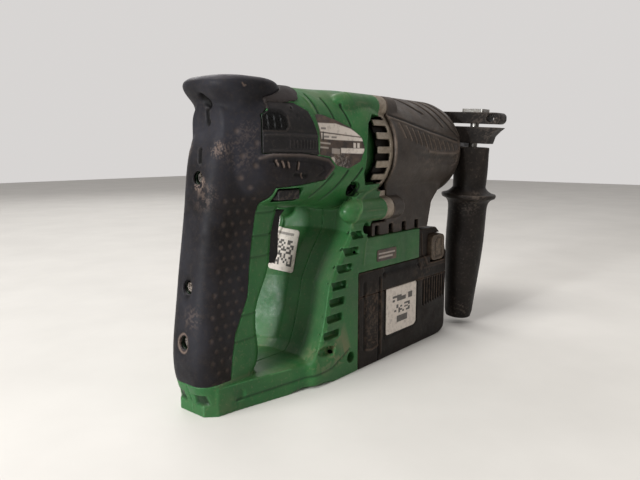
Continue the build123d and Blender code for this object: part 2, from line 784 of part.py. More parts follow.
def battery_board():
    return block(60, 186, -28, 28, 50, 51.6) + block(70, 84, -20, 20, 51.6, 70)


def latch_button(side):
    """Press pad on one side of the latch block."""
    with BuildPart() as pad:
        with BuildSketch(Plane(origin=(175, side * PAD_FOOT_Y, 83.5), x_dir=(side, 0, 0), z_dir=(0, side, 0))):
            RectangleRounded(25.2, 25.2, 6)
        extrude(amount=8, taper=8)
    return pad.part


# ---- side handle -----------------------------------------------------------------------------

OUT = (0, -cos(SWIVEL), -sin(SWIVEL))
UP = (0, -sin(SWIVEL), cos(SWIVEL))
BOLT_FOOT = (CLAMP_X, OUT[1] * BOLT_REACH, AXIS_Z + OUT[2] * BOLT_REACH)


def along_bolt(height):
    """Point on the bolt axis, this far above the barrel axis."""
    return (CLAMP_X, BOLT_FOOT[1] + UP[1] * height, BOLT_FOOT[2] + UP[2] * height)


def bolt_plane(height):
    return Plane(origin=along_bolt(height), x_dir=(1, 0, 0), z_dir=UP)


def clamp_plane():
    """Plane of the clamp's front face, with x outwards from the barrel and y up along the bolt."""
    return Plane(origin=(CLAMP_X + CLAMP_WIDTH / 2, 0, AXIS_Z), x_dir=OUT, z_dir=(-1, 0, 0))


def bolt_rod(height_low, height_high, radius):
    with BuildPart() as rod:
        with BuildSketch(bolt_plane(height_low)):
            Circle(radius)
        extrude(amount=height_high - height_low)
    return rod.part


def clamp_ring():
    """Split clamp: a ring on the collar, a straight upper lug and a flared lower lug beside the slot."""
    with BuildPart() as clamp:
        with BuildSketch(clamp_plane()):
            Circle(25.2)
            with Locations((4, 28.5)):
                Rectangle(34, 19)
            with Locations((31.5, (SLOT_HIGH + BAR_TOP) / 2)):
                RectangleRounded(79, BAR_TOP - SLOT_HIGH, 4.5)
            Polygon((0, 24.5), (71, 24.5), (66.5, 21), (62, 16), (60, LUG_LOW), (26, LUG_LOW), (23, 0), (0, 0),
                    align=None)
            Circle(COLLAR_R + FIT, mode=Mode.SUBTRACT)
            with Locations((46, (SLOT_LOW + SLOT_HIGH) / 2)):
                Rectangle(80, SLOT_HIGH - SLOT_LOW, mode=Mode.SUBTRACT)
            with Locations((7.2, 21)):
                Rectangle(2.4, 13, mode=Mode.SUBTRACT)
            with Locations((DEPTH_ROD_REACH, DEPTH_ROD_H)):
                Circle(DEPTH_ROD_R, mode=Mode.SUBTRACT)
        extrude(amount=CLAMP_WIDTH)
    return clamp.part - bolt_rod(0, 60, BOLT_R + GAP)


def clamp_bolt():
    """Bolt with a flat oblong head that lies on the upper lug."""
    with BuildPart() as head:
        with BuildSketch(bolt_plane(BAR_TOP)):
            RectangleRounded(15, 22, 2)
        extrude(amount=3)
    return head.part + bolt_rod(-55, BAR_TOP + 1, BOLT_R)


def side_grip():
    """Grip with a tapered neck, a hand guard flange and a slim foot."""
    with BuildPart() as grip:
        with BuildSketch(Plane(origin=BOLT_FOOT, x_dir=(1, 0, 0), z_dir=OUT)):
            with BuildLine():
                Polyline((0, 5.4), (17.3, 5.4), (15.6, -33))
                Spline((15.6, -33), (20, -37.5), (25.7, -39.3))
                Polyline((25.7, -39.3), (26, -41.5), (25, -43.3))
                Spline((25, -43.3), (20.5, -46), (18.4, -56), (18.4, -80), (15.8, -125), (13.4, -157))
                Polyline((13.4, -157), (12, -163), (0, -163), (0, 5.4))
            make_face()
        revolve(axis=Axis(BOLT_FOOT, UP))
    bored = grip.part - bolt_rod(-62, 10, BOLT_R + GAP)
    with BuildPart() as pocket:
        with BuildSketch(bolt_plane(-1.6)):
            RegularPolygon(7.6, 6)
        extrude(amount=10)
    return bored - pocket.part


def grip_nut():
    with BuildPart() as nut:
        with BuildSketch(bolt_plane(-1.5)):
            RegularPolygon(7.5, 6)
            Circle(BOLT_R + FIT, mode=Mode.SUBTRACT)
        extrude(amount=6.4)
    return nut.part


# ---- fasteners -------------------------------------------------------------------------------

HANDLE_SCREWS = [(-78.6, 84.6), (-83.2, 48.8), (-68.2, 154.4)]
SPLIT_SCREWS = [(43, 13, 38), (-58, 11, 20), (62, 112, 38)]


def handle_screws():
    """Screws that hold the rubber's carrier to the handle, seen in recesses in its back."""
    screws = []
    for x, z in HANDLE_SCREWS:
        screw = tube(x + 1, x + 3.4, 3.6, 0, z) + tube(x + 3.4, x + 10.5, 1.9, 0, z)
        screw -= block(x, x + 2, -2.4, 2.4, z - 0.5, z + 0.5)
        screws.append(screw - block(x, x + 2, -0.5, 0.5, z - 2.4, z + 2.4))
    return Compound(children=screws)


def split_screws():
    """Screws across the casing that hold its two halves together."""
    screws = []
    for x, z, half in SPLIT_SCREWS:
        screw = tube_y(x, z, -half + 8, -half + 11, 3.7) + tube_y(x, z, -half + 11, half - 6, 1.9)
        screws.append(screw)
    return Compound(children=screws)


def cover_screws():
    """Long screws through the ring that hold the gear cover to the casing."""
    screws = []
    start = RING_X + RING_WIDTH + 12
    for y, z in (TOP_BOSS, LOW_BOSS):
        for side in (-1, 1):
            screw = tube(start, start + 3.6, 4.2, 0, z, side * y)
            screw += tube(64, start, SCREW_R - 0.4, 0, z, side * y)
            screws.append(screw - tube(start + 1.6, start + 5, 2, 0, z, side * y))
    return Compound(children=screws)


PIECES = {
    "right_side_cover": lambda: skin_panel(SIDE_COVER_EDGE, 2.0, -1),
    "left_side_cover": lambda: skin_panel(SIDE_COVER_EDGE, 2.0, 1),
    "name_plate": lambda: skin_panel(NAME_PLATE_EDGE, 1.0, -1),
    "grip_cover": grip_cover,
    "handle_screws": handle_screws,
    "split_screws": split_screws,
    "cover_screws": cover_screws,
    "inner_cover": inner_cover,
    "gear_cover": gear_cover,
    "front_collar": front_collar,
    "bearing_bridge": bearing_bridge,
    "rear_brace": rear_brace,
    "motor_can": motor_can,
    "magnets": magnets,
    "armature_core": armature_core,
    "motor_shaft": motor_shaft,
    "commutator": commutator,
    "cooling_fan": cooling_fan,
    "brush_gear": brush_gear,
    "motor_bearings": motor_bearings,
    "layshaft_bearings": layshaft_bearings,
    "cylinder_bearings": cylinder_bearings,
    "layshaft": layshaft,
    "layshaft_gear": layshaft_gear,
    "swash_hub": swash_hub,
    "swash_ring": swash_ring,
    "piston": piston,
    "striker": striker,
    "striker_o_ring": striker_o_ring,
    "impact_bolt": impact_bolt,
    "cylinder": cylinder,
    "spindle_gear": spindle_gear,
    "tool_holder": tool_holder,
    "locking_ball": locking_ball,
    "locking_sleeve": locking_sleeve,
    "sleeve_spring": sleeve_spring,
    "dust_cap": dust_cap,
    "mode_knob": mode_knob,
    "trigger": trigger,
    "trigger_spring": trigger_spring,
    "reversing_lever": reversing_lever,
    "switch_unit": switch_unit,
    "control_board": control_board,
    "terminal_block": terminal_block,
    "battery_case": battery_case,
    "battery_cover": battery_cover,
    "battery_cells": battery_cells,
    "battery_board": battery_board,
    "right_latch_button": lambda: latch_button(-1),
    "left_latch_button": lambda: latch_button(1),
    "clamp_ring": clamp_ring,
    "clamp_bolt": clamp_bolt,
    "side_grip": side_grip,
    "grip_nut": grip_nut,
}


def main():
    os.makedirs("parts", exist_ok=True)
    right, left = casing_halves()
    write(right, "right_housing")
    write(left, "left_housing")
    for name, make in PIECES.items():
        write(make(), name)


if __name__ == "__main__":
    main()
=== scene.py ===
"""Looks of the cordless rotary hammer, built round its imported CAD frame.

Blender works in metres; the helpers' arguments and the outlines below are in millimetres.
+X points to the bit, +Y to the tool's left and +Z up, from the ground under the handle's foot.
"""
import json
from math import cos, pi, radians, sin

import bmesh
import bpy
import numpy as np
from mathutils import Matrix, Vector
from mathutils.bvhtree import BVHTree


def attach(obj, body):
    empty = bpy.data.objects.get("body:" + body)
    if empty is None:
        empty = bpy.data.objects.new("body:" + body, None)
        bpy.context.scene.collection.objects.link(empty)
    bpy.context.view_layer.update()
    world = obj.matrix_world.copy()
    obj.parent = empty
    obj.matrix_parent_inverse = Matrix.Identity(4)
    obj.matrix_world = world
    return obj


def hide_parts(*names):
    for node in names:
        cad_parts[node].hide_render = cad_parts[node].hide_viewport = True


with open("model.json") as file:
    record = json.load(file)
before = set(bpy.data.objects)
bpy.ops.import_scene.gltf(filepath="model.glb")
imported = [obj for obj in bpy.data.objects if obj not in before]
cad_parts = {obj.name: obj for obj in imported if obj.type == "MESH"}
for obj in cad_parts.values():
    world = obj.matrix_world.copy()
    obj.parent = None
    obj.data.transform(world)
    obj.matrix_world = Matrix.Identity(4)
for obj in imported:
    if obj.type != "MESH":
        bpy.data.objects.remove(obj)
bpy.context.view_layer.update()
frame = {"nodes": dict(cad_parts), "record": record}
NODES = frame["nodes"]
SLOT_OF = {part["node"]: part["material_slot"] for part in frame["record"]["subparts"]}
BODY_OF = {node: body for body, nodes in frame["record"]["behaviour"]["bodies"].items() for node in nodes}
MM = 0.001
XZ = (0, 2)            # axes of an outline drawn in side view
YZ = (1, 2)            # axes of an outline drawn in back view
BARREL_Z = 172
UPPER_SCREW_Z = 84.6    # screws in the back of the handle
LOWER_SCREW_Z = 48.8
MOST_TRIANGLES = 195000


# ---- materials -------------------------------------------------------------------------------

class Graph:
    """A node material that is filled in step by step."""

    def __init__(self, name, roughness=0.5, metallic=0.0, specular=0.5):
        self.material = bpy.data.materials.new(name)
        self.material.use_nodes = True
        self.tree = self.material.node_tree
        self.tree.nodes.clear()
        self.shader = self.node("ShaderNodeBsdfPrincipled")
        out = self.node("ShaderNodeOutputMaterial")
        self.tree.links.new(self.shader.outputs["BSDF"], out.inputs["Surface"])
        self.shader.inputs["Roughness"].default_value = roughness
        self.shader.inputs["Metallic"].default_value = metallic
        self.shader.inputs["Specular IOR Level"].default_value = specular
        self.coords = self.node("ShaderNodeTexCoord").outputs["Object"]
        self.geometry = self.node("ShaderNodeNewGeometry")

    def node(self, kind):
        return self.tree.nodes.new(kind)

    def plug(self, socket, value):
        if isinstance(value, bpy.types.NodeSocket):
            self.tree.links.new(value, socket)
        elif isinstance(value, tuple) and len(value) == 3 and socket.type == "RGBA":
            socket.default_value = (*value, 1)
        else:
            socket.default_value = value

    def noise(self, scale, detail=4.0, roughness=0.55, distortion=0.0, stretch=None):
        """Noise from 0 to 1; scale counts waves in a metre."""
        node = self.node("ShaderNodeTexNoise")
        vector = self.coords
        if stretch:
            mapping = self.node("ShaderNodeMapping")
            mapping.inputs["Scale"].default_value = stretch
            self.plug(mapping.inputs["Vector"], vector)
            vector = mapping.outputs["Vector"]
        self.plug(node.inputs["Vector"], vector)
        node.inputs["Scale"].default_value = scale
        node.inputs["Detail"].default_value = detail
        node.inputs["Roughness"].default_value = roughness
        node.inputs["Distortion"].default_value = distortion
        return node.outputs["Fac"]

    def level(self, value, low, high, to_low=0.0, to_high=1.0):
        """Straight ramp of a value, held at its ends."""
        node = self.node("ShaderNodeMapRange")
        self.plug(node.inputs["Value"], value)
        node.inputs["From Min"].default_value = low
        node.inputs["From Max"].default_value = high
        node.inputs["To Min"].default_value = to_low
        node.inputs["To Max"].default_value = to_high
        return node.outputs["Result"]

    def math(self, operation, a, b=0.0):
        node = self.node("ShaderNodeMath")
        node.operation = operation
        self.plug(node.inputs[0], a)
        self.plug(node.inputs[1], b)
        return node.outputs[0]

    def mix(self, factor, a, b):
        node = self.node("ShaderNodeMix")
        node.data_type = "RGBA"
        self.plug(node.inputs[0], factor)
        self.plug(node.inputs[6], a)
        self.plug(node.inputs[7], b)
        return node.outputs[2]

    def attribute(self, name):
        node = self.node("ShaderNodeAttribute")
        node.attribute_name = name
        return node.outputs["Fac"]

    def split(self, vector):
        node = self.node("ShaderNodeSeparateXYZ")
        self.plug(node.inputs[0], vector)
        return node.outputs

    def bump(self, height, strength, distance_mm, below=None):
        node = self.node("ShaderNodeBump")
        node.inputs["Strength"].default_value = strength
        node.inputs["Distance"].default_value = distance_mm * MM
        self.plug(node.inputs["Height"], height)
        if below is not None:
            self.plug(node.inputs["Normal"], below)
        return node.outputs["Normal"]

    def finish(self, colour, roughness=None, normal=None):
        self.plug(self.shader.inputs["Base Color"], colour)
        if roughness is not None:
            self.plug(self.shader.inputs["Roughness"], roughness)
        if normal is not None:
            self.plug(self.shader.inputs["Normal"], normal)
        return self.material


def srgb(red, green, blue_sheen):
    """Linear colour from 8-bit values."""
    shares = (red / 255, green / 255, blue_sheen / 255)
    return tuple(c / 12.92 if c <= 10 / 255 else ((c + 0.055) / 1.055) ** 2.4 for c in shares)


def worn_plastic(name, base, shade, dust, dust_amount=0.5, edge=None, edge_amount=0.5, roughness=0.45,
                 gloss=0.3):
    """Moulded plastic: blotchy colour, dust on faces that look up, pale worn edges, painted shade in grooves
    and hollows, fine grain.
    """
    g = Graph(name, roughness, 0.0, gloss)
    blotch = g.level(g.noise(22, 5, 0.6), 0.35, 0.68)
    colour = g.mix(blotch, shade, base)
    speck = g.level(g.noise(420, 3, 0.7), 0.56, 0.74)
    colour = g.mix(g.math("MULTIPLY", speck, 0.35), colour, dust)
    up = g.level(g.split(g.geometry.outputs["Normal"])[2], 0.1, 1.0)
    film = g.math("MULTIPLY", g.level(g.noise(55, 6, 0.65), 0.38, 0.72), g.level(up, 0, 1, 0.25, 1.0))
    film = g.math("MULTIPLY", film, dust_amount)
    wear = g.attribute("wear")
    film = g.math("MAXIMUM", film, wear)
    colour = g.mix(film, colour, dust)
    if edge is not None:
        rim = g.level(g.geometry.outputs["Pointiness"], 0.515, 0.56)
        rim = g.math("MULTIPLY", rim, g.level(g.noise(130, 5, 0.7), 0.35, 0.65, 0.0, edge_amount))
        colour = g.mix(rim, colour, edge)
    # Painted shade: grooves, holes and hollows marked on the mesh go near black.
    shade_and_print = g.attribute("shade_and_print")
    colour = g.mix(shade_and_print, colour, tuple(c * 0.12 for c in shade))
    rough = g.level(g.noise(90, 4, 0.6), 0.3, 0.7, roughness - 0.1, roughness + 0.14)
    rough = g.math("MAXIMUM", rough, g.level(film, 0, 1, 0.0, 0.85))
    fine = g.bump(g.noise(2600, 2, 0.5), 0.22, 0.12)
    coarse = g.bump(g.noise(240, 6, 0.7), 0.35, 0.25, fine)
    scratch = g.level(g.noise(60, 4, 0.9, 1.5, (1, 1, 14)), 0.62, 0.66)
    return g.finish(colour, rough, g.bump(scratch, 0.1, 0.1, coarse))


def metal(name, base, shade, roughness=0.35, brushed=(1, 30, 30), stain=None, stain_amount=0.0, cast=0.0):
    """Machined or cast metal with streaks, tarnish, fine tooling marks and painted shade where the mesh is
    marked.
    """
    g = Graph(name, roughness, 1.0)
    streak = g.noise(70, 5, 0.7, 0.0, brushed)
    colour = g.mix(g.level(streak, 0.35, 0.65), shade, base)
    if stain is not None:
        colour = g.mix(g.level(g.noise(160, 6, 0.75), 0.48, 0.7, 0.0, stain_amount), colour, stain)
    # Painted shade: marked parts are darkened to dark brown.
    colour = g.mix(g.attribute("shade_and_print"), colour, srgb(20, 16, 13))
    rough = g.level(g.noise(180, 5, 0.7), 0.3, 0.7, roughness - 0.08, roughness + 0.2)
    normal = g.bump(streak, 0.12, 0.05)
    if cast > 0:
        normal = g.bump(g.noise(900, 4, 0.7), cast, 0.2, normal)
    return g.finish(colour, rough, normal)


def smooth_film(name, base, shade, roughness=0.35, printed=None):
    """Glossy film or paint with small marks."""
    g = Graph(name, roughness)
    colour = g.mix(g.level(g.noise(150, 5, 0.65), 0.4, 0.66), base, shade)
    if printed is not None:
        pale = g.mix(g.level(g.noise(230, 7, 0.8), 0.5, 0.75, 0.0, 0.75), printed, shade)
        colour = g.mix(g.attribute("wear"), colour, pale)
        colour = g.mix(g.attribute("shade_and_print"), colour, srgb(30, 26, 25))
    rough = g.level(g.noise(300, 4, 0.6), 0.3, 0.7, roughness - 0.08, roughness + 0.2)
    return g.finish(colour, rough, g.bump(g.noise(800, 3, 0.6), 0.1, 0.05))


def rubber(name):
    """Black moulded rubber with painted blue-grey sheen in blotches, rubbed brown where a hand holds it, with
    scuffed pits darkened by painted shade and a painted highlight on faces that look up.
    """
    g = Graph(name, 0.55, 0.0, 0.15)
    spot = g.split(g.coords)
    # Painted sheen: blotches of blue-grey stand in for the glossy rubber's sheen.
    blue_sheen = srgb(42, 42, 48)
    black = srgb(22, 20, 22)
    brown = srgb(38, 30, 25)
    colour = g.mix(g.level(g.noise(18, 5, 0.6), 0.38, 0.62), black, blue_sheen)
    hand = g.math("MULTIPLY", g.level(spot[1], -0.012, -0.022), g.level(spot[2], 0.175, 0.13))
    hand = g.math("MULTIPLY", hand, g.level(g.noise(45, 6, 0.7), 0.35, 0.6))
    colour = g.mix(g.math("MULTIPLY", hand, 0.75), colour, brown)
    grime = g.level(g.noise(330, 6, 0.8), 0.5, 0.78, 0.0, 0.55)
    colour = g.mix(grime, colour, srgb(66, 57, 50))
    # Painted highlight: faces that look up, the top of the horn most of all, are lightened to pale grey-blue.
    up = g.level(g.split(g.geometry.outputs["Normal"])[2], 0.45, 0.95, 0.0, 0.6)
    colour = g.mix(g.math("MULTIPLY", up, g.level(g.noise(40, 5, 0.6), 0.3, 0.6)), colour, srgb(92, 88, 92))
    rim = g.level(g.geometry.outputs["Pointiness"], 0.52, 0.57, 0.0, 0.5)
    colour = g.mix(rim, colour, srgb(98, 94, 94))
    # Painted shade: marked pits, slots and screw wells go near black.
    colour = g.mix(g.attribute("shade_and_print"), colour, srgb(6, 5, 5))
    colour = g.mix(g.attribute("wear"), colour, srgb(164, 142, 128))
    rough = g.level(g.noise(120, 5, 0.65), 0.3, 0.7, 0.42, 0.68)
    fine = g.bump(g.noise(3000, 2, 0.5), 0.25, 0.1)
    return g.finish(colour, rough, g.bump(g.noise(300, 7, 0.75), 0.4, 0.3, fine))


FINISHES = {
    "green_casing": worn_plastic("green_nylon", srgb(46, 106, 55), srgb(33, 84, 42), srgb(120, 118, 88), 0.36,
                                 srgb(88, 152, 100), 0.7, 0.42),
    "grip_rubber": rubber("grip_rubber"),
    "black_plastic": worn_plastic("black_plastic", srgb(34, 33, 36), srgb(22, 21, 22), srgb(78, 70, 64),
                                  0.4, srgb(84, 78, 75), 0.6, gloss=0.2),
    "grey_cover": worn_plastic("dusty_grey_plastic", srgb(58, 51, 46), srgb(42, 36, 32), srgb(98, 84, 73),
                               0.6, srgb(122, 108, 96), 0.9),
    "battery_plastic": worn_plastic("brown_black_plastic", srgb(26, 20, 16), srgb(17, 13, 11),
                                    srgb(84, 69, 58), 0.24, srgb(104, 86, 72), 0.8, gloss=0.13),
    "latch_plastic": worn_plastic("latch_plastic", srgb(86, 74, 62), srgb(62, 52, 43), srgb(128, 112, 94),
                                  0.45, srgb(150, 134, 114), 0.8),
    "handle_plastic": worn_plastic("handle_plastic", srgb(32, 28, 26), srgb(21, 19, 18), srgb(92, 82, 74),
                                   0.42, srgb(108, 98, 90), 0.8, gloss=0.13),
    "plate_film": smooth_film("plate_film", srgb(44, 35, 33), srgb(92, 74, 60), 0.4, srgb(216, 206, 196)),
    "cast_aluminium": metal("cast_aluminium", srgb(196, 184, 168), srgb(160, 148, 132), 0.46, (1, 1, 1),
                            srgb(112, 94, 76), 0.5, 0.5),
    "piston_aluminium": metal("piston_aluminium", srgb(206, 206, 210), srgb(176, 176, 180), 0.25, (30, 1, 1)),
    "screw_steel": metal("screw_steel", srgb(150, 144, 138), srgb(96, 88, 80), 0.42, (8, 8, 8),
                         srgb(84, 58, 40), 0.4),
    "plated_steel": metal("plated_steel", srgb(168, 166, 162), srgb(120, 116, 110), 0.38, (1, 24, 24),
                          srgb(100, 82, 64), 0.4),
    "bearing_steel": metal("bearing_steel", srgb(206, 206, 210), srgb(170, 170, 176), 0.18, (24, 1, 1)),
    "gear_steel": metal("gear_steel", srgb(150, 148, 146), srgb(112, 108, 104), 0.35, (24, 1, 1),
                        srgb(88, 64, 40), 0.3),
    "spring_steel": metal("spring_steel", srgb(170, 170, 170), srgb(120, 118, 116), 0.3, (1, 1, 60)),
    "lamination_steel": metal("lamination_steel", srgb(120, 112, 106), srgb(80, 74, 70), 0.45, (90, 1, 1)),
    "magnet_ferrite": worn_plastic("magnet_ferrite", srgb(70, 70, 72), srgb(52, 52, 54), srgb(96, 92, 88),
                                   0.3),
    "copper_bars": metal("copper_bars", srgb(206, 142, 98), srgb(160, 98, 60), 0.3, (1, 40, 40)),
    "circuit_board": smooth_film("circuit_board", srgb(20, 84, 44), srgb(30, 108, 60), 0.4),
    "cell_wrap": smooth_film("cell_wrap", srgb(70, 118, 160), srgb(58, 100, 140), 0.3),
    "seal_rubber": worn_plastic("seal_rubber", srgb(38, 38, 38), srgb(26, 26, 26), srgb(70, 66, 62), 0.3,
                                roughness=0.6),
}


def dress(obj, material):
    """Gives an object one material in all its slots."""
    if not obj.data.materials:
        obj.data.materials.append(material)
    for slot in obj.material_slots:
        slot.material = material


for node_name, node_object in NODES.items():
    dress(node_object, FINISHES[SLOT_OF[node_name]])


# ---- mesh tools ------------------------------------------------------------------------------

def add_object(name, mesh):
    obj = bpy.data.objects.new(name, mesh)
    bpy.context.scene.collection.objects.link(obj)
    return obj


def from_bmesh(name, bm):
    bmesh.ops.recalc_face_normals(bm, faces=bm.faces)
    mesh = bpy.data.meshes.new(name)
    bm.to_mesh(mesh)
    bm.free()
    return add_object(name, mesh)


def node_copy(*nodes):
    """Welded copy of CAD nodes, as one object."""
    bm = bmesh.new()
    for node in nodes:
        bm.from_mesh(NODES[node].data)
    bmesh.ops.remove_doubles(bm, verts=bm.verts, dist=2e-6)
    return from_bmesh("raw", bm)


def side_prism(points, low, high):
    """Closed prism from one Y to another, with an outline drawn in side view."""
    bm = bmesh.new()
    rings = [[bm.verts.new(Vector((a, level, b)) * MM) for a, b in points] for level in (low, high)]
    bm.faces.new(rings[0])
    bm.faces.new(list(reversed(rings[1])))
    for index in range(len(points)):
        after = (index + 1) % len(points)
        bm.faces.new((rings[0][index], rings[1][index], rings[1][after], rings[0][after]))
    return from_bmesh("raw", bm)


def ellipsoid(centre, radii):
    bm = bmesh.new()
    bmesh.ops.create_icosphere(bm, subdivisions=4, radius=1)
    bmesh.ops.scale(bm, verts=bm.verts, vec=Vector(radii) * MM)
    bmesh.ops.translate(bm, verts=bm.verts, vec=Vector(centre) * MM)
    return from_bmesh("raw", bm)


def rod(start, end, radius):
    """Closed cylinder between two points."""
    start, end = Vector(start) * MM, Vector(end) * MM
    bm = bmesh.new()
    turn = (end - start).to_track_quat("Z", "Y").to_matrix().to_4x4()
    bmesh.ops.create_cone(
        bm, cap_ends=True, segments=40, radius1=radius * MM, radius2=radius * MM, depth=(end - start).length,
        matrix=Matrix.Translation((start + end) / 2) @ turn,
    )
    return from_bmesh("raw", bm)


def evaluated(obj):
    """Mesh of an object with its modifiers applied; the object is removed."""
    graph = bpy.context.evaluated_depsgraph_get()
    mesh = bpy.data.meshes.new_from_object(obj.evaluated_get(graph), depsgraph=graph)
    bpy.data.objects.remove(obj)
    return mesh


def settle(base, voxel, rounds, adds=(), cuts=()):
    """Cuts and adds solids to an object, then remeshes it evenly so that its edges come out rounded."""
    for cutter in cuts:
        step = base.modifiers.new("cut", "BOOLEAN")
        step.operation = "DIFFERENCE"
        step.solver = "EXACT"
        step.object = cutter
    mesh = evaluated(base)
    bm = bmesh.new()
    bm.from_mesh(mesh)
    for extra in adds:
        bm.from_mesh(extra.data)
    for used in (*adds, *cuts):
        bpy.data.objects.remove(used)
    joined = from_bmesh("raw", bm)
    step = joined.modifiers.new("even", "REMESH")
    step.mode = "VOXEL"
    step.voxel_size = voxel * MM
    step = joined.modifiers.new("soft", "SMOOTH")
    step.factor = 0.5
    step.iterations = rounds
    return Clay(evaluated(joined))


class Clay:
    """A dense mesh whose vertices are pushed about, in millimetres, and painted."""

    def __init__(self, mesh):
        self.mesh = mesh
        count = len(mesh.vertices)
        flat = np.empty(count * 3, np.float32)
        mesh.vertices.foreach_get("co", flat)
        self.co = flat.reshape(-1, 3).astype(float) / MM
        # wear holds scuffs, dust and pale print; the second layer holds painted shade in hollows and dark
        # print
        self.paint = {"wear": np.zeros(count), "shade_and_print": np.zeros(count)}
        pairs = np.empty(len(mesh.edges) * 2, np.int32)
        mesh.edges.foreach_get("vertices", pairs)
        self.pairs = pairs.reshape(-1, 2)
        self.degree = np.bincount(pairs, minlength=count)[:, None]
        self.refresh()

    def refresh(self):
        self.mesh.vertices.foreach_set("co", (self.co * MM).astype(np.float32).ravel())
        self.mesh.update()
        flat = np.empty(len(self.co) * 3, np.float32)
        self.mesh.vertex_normals.foreach_get("vector", flat)
        self.no = flat.reshape(-1, 3).astype(float)

    def relax(self, weight, rounds):
        """Evens out the surface where weight is above 0."""
        weight = (weight * 0.5)[:, None]
        a, b = self.pairs[:, 0], self.pairs[:, 1]
        for _ in range(rounds):
            total = np.stack([
                np.bincount(a, self.co[b, k], len(self.co)) + np.bincount(b, self.co[a, k], len(self.co))
                for k in range(3)
            ], 1)
            self.co += (total / self.degree - self.co) * weight
        self.refresh()

    def push(self, amount):
        """Moves each vertex this far along its normal."""
        self.co += self.no * amount[:, None]

    def coat(self, kind, amount):
        """Raises one painted layer to at least this amount; the layers are wear, and painted shade with dark
        print.
        """
        self.paint[kind] = np.maximum(self.paint[kind], amount)

    def dimple(self, centre, radius, depth, wear=0.0, shade_and_print=0.0, facing=None):
        """Round dent, or bump if depth is negative; wear and painted shade are laid in it as asked."""
        distance = np.linalg.norm(self.co - np.array(centre, float), axis=1)
        near = np.clip(1 - distance / radius, 0, 1)
        near = near * near * (3 - 2 * near)
        if facing is not None:
            near = near * (self.no @ np.array(facing, float) > 0.2)
        self.push(-depth * near)
        self.coat("wear", near * wear)
        self.coat("shade_and_print", near * shade_and_print)

    def near_line(self, points, axes, width, outward):
        """1 on a line drawn in the plane of two axes, falling to 0 at width, where the clay faces outward."""
        at = self.co[:, list(axes)]
        best = np.full(len(at), 1e9)
        for start, end in zip(np.array(points, float), np.array(points[1:], float)):
            along = end - start
            share = np.clip(((at - start) @ along) / max(along @ along, 1e-9), 0, 1)
            best = np.minimum(best, np.linalg.norm(at - start - share[:, None] * along, axis=1))
        near = np.clip(1 - best / width, 0, 1)
        return near * near * (3 - 2 * near) * (self.no @ np.array(outward, float) > 0.15)

    def groove(self, points, axes, width, depth, outward, shade_and_print=0.0, wear=0.0, where=None):
        near = self.near_line(points, axes, width, outward)
        if where is not None:
            near = near * where
        self.push(-depth * near)
        # Painted shade along the line, as much as asked.
        self.coat("shade_and_print", near * shade_and_print)
        self.coat("wear", near * wear)

    def inside(self, outline, axes, outward, blur=0.6):
        """1 inside an outline drawn in the plane of two axes, where the clay faces outward."""
        at = self.co[:, list(axes)]
        points = np.array(outline, float)
        within = np.zeros(len(at), bool)
        best = np.full(len(at), 1e9)
        for start, end in zip(points, np.roll(points, -1, 0)):
            crosses = (start[1] > at[:, 1]) != (end[1] > at[:, 1])
            slope = (end[0] - start[0]) / (end[1] - start[1] if end[1] != start[1] else 1e-9)
            within ^= crosses & (at[:, 0] < start[0] + (at[:, 1] - start[1]) * slope)
            along = end - start
            share = np.clip(((at - start) @ along) / max(along @ along, 1e-9), 0, 1)
            best = np.minimum(best, np.linalg.norm(at - start - share[:, None] * along, axis=1))
        signed = np.where(within, best, -best)
        return np.clip(0.5 + signed / (2 * blur), 0, 1) * (self.no @ np.array(outward, float) > 0.15)

    def ink(self, outline, axes, outward, kind, value):
        """Paints inside an outline, with a sharp edge."""
        self.coat(kind, value * self.inside(outline, axes, outward, 0.2))

    def scuff(self, centre, radius, amount, scale, where=None):
        """Paints broken wear round a point; scale counts marks in a metre."""
        near = np.clip(1 - np.linalg.norm(self.co - np.array(centre, float), axis=1) / radius, 0, 1)
        if where is not None:
            near = near * where
        at = np.flatnonzero(near)
        pick = np.random.default_rng(int(abs(sum(centre)) * 7 + scale))
        waves = pick.normal(size=(3, 28)) * pick.uniform(0.5, 2.2, 28) * scale * 2 * pi * MM * 0.6
        level = np.cos(self.co[at] @ waves + pick.uniform(0, 6.28, 28)).sum(1) / 3.7
        mark = np.clip((level - 0.25) * 2.2, 0, 1) * np.clip(near[at] * 2, 0, 1) * amount
        self.paint["wear"][at] = np.maximum(self.paint["wear"][at], np.clip(mark, 0, 1))

    def well(self, centre, radius, outward, where):
        """Painted shade round the edge of a round hole drawn in side view."""
        distance = np.hypot(self.co[:, 0] - centre[0], self.co[:, 2] - centre[1])
        facing = self.no @ np.array(outward, float) > 0.1
        self.coat("shade_and_print", 1.6 * np.clip((radius - distance) / 0.8 + 0.5, 0, 1) * facing * where)

    def nearest(self, point, weights):
        """Vertex nearest to a point, with the gap along each axis weighted."""
        gap = (self.co - np.array(point, float)) * np.array(weights)
        return self.co[np.argmin((gap ** 2).sum(1))].copy()

    def piece(self, name, body, slot, replaces, triangles):
        """Writes the clay out as a finished piece of the object, thinned to this many triangles."""
        self.refresh()
        for label, values in self.paint.items():
            layer = self.mesh.attributes.new(label, "FLOAT", "POINT")
            layer.data.foreach_set("value", values.astype(np.float32))
        obj = add_object(name, self.mesh)
        faces = sum(len(p.vertices) - 2 for p in self.mesh.polygons)
        if faces > triangles:
            step = obj.modifiers.new("thin", "DECIMATE")
            step.ratio = triangles / faces
            obj = add_object(name, evaluated(obj))
        obj.data.name = name
        return place(obj, body, slot, replaces)


def place(obj, body, slot, replaces=()):
    """Dresses a piece and fixes it to its body."""
    for polygon in obj.data.polygons:
        polygon.use_smooth = True
    dress(obj, FINISHES[slot])
    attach(obj, body)
    if replaces:
        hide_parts(*replaces)
    return obj


# ---- green casing ----------------------------------------------------------------------------

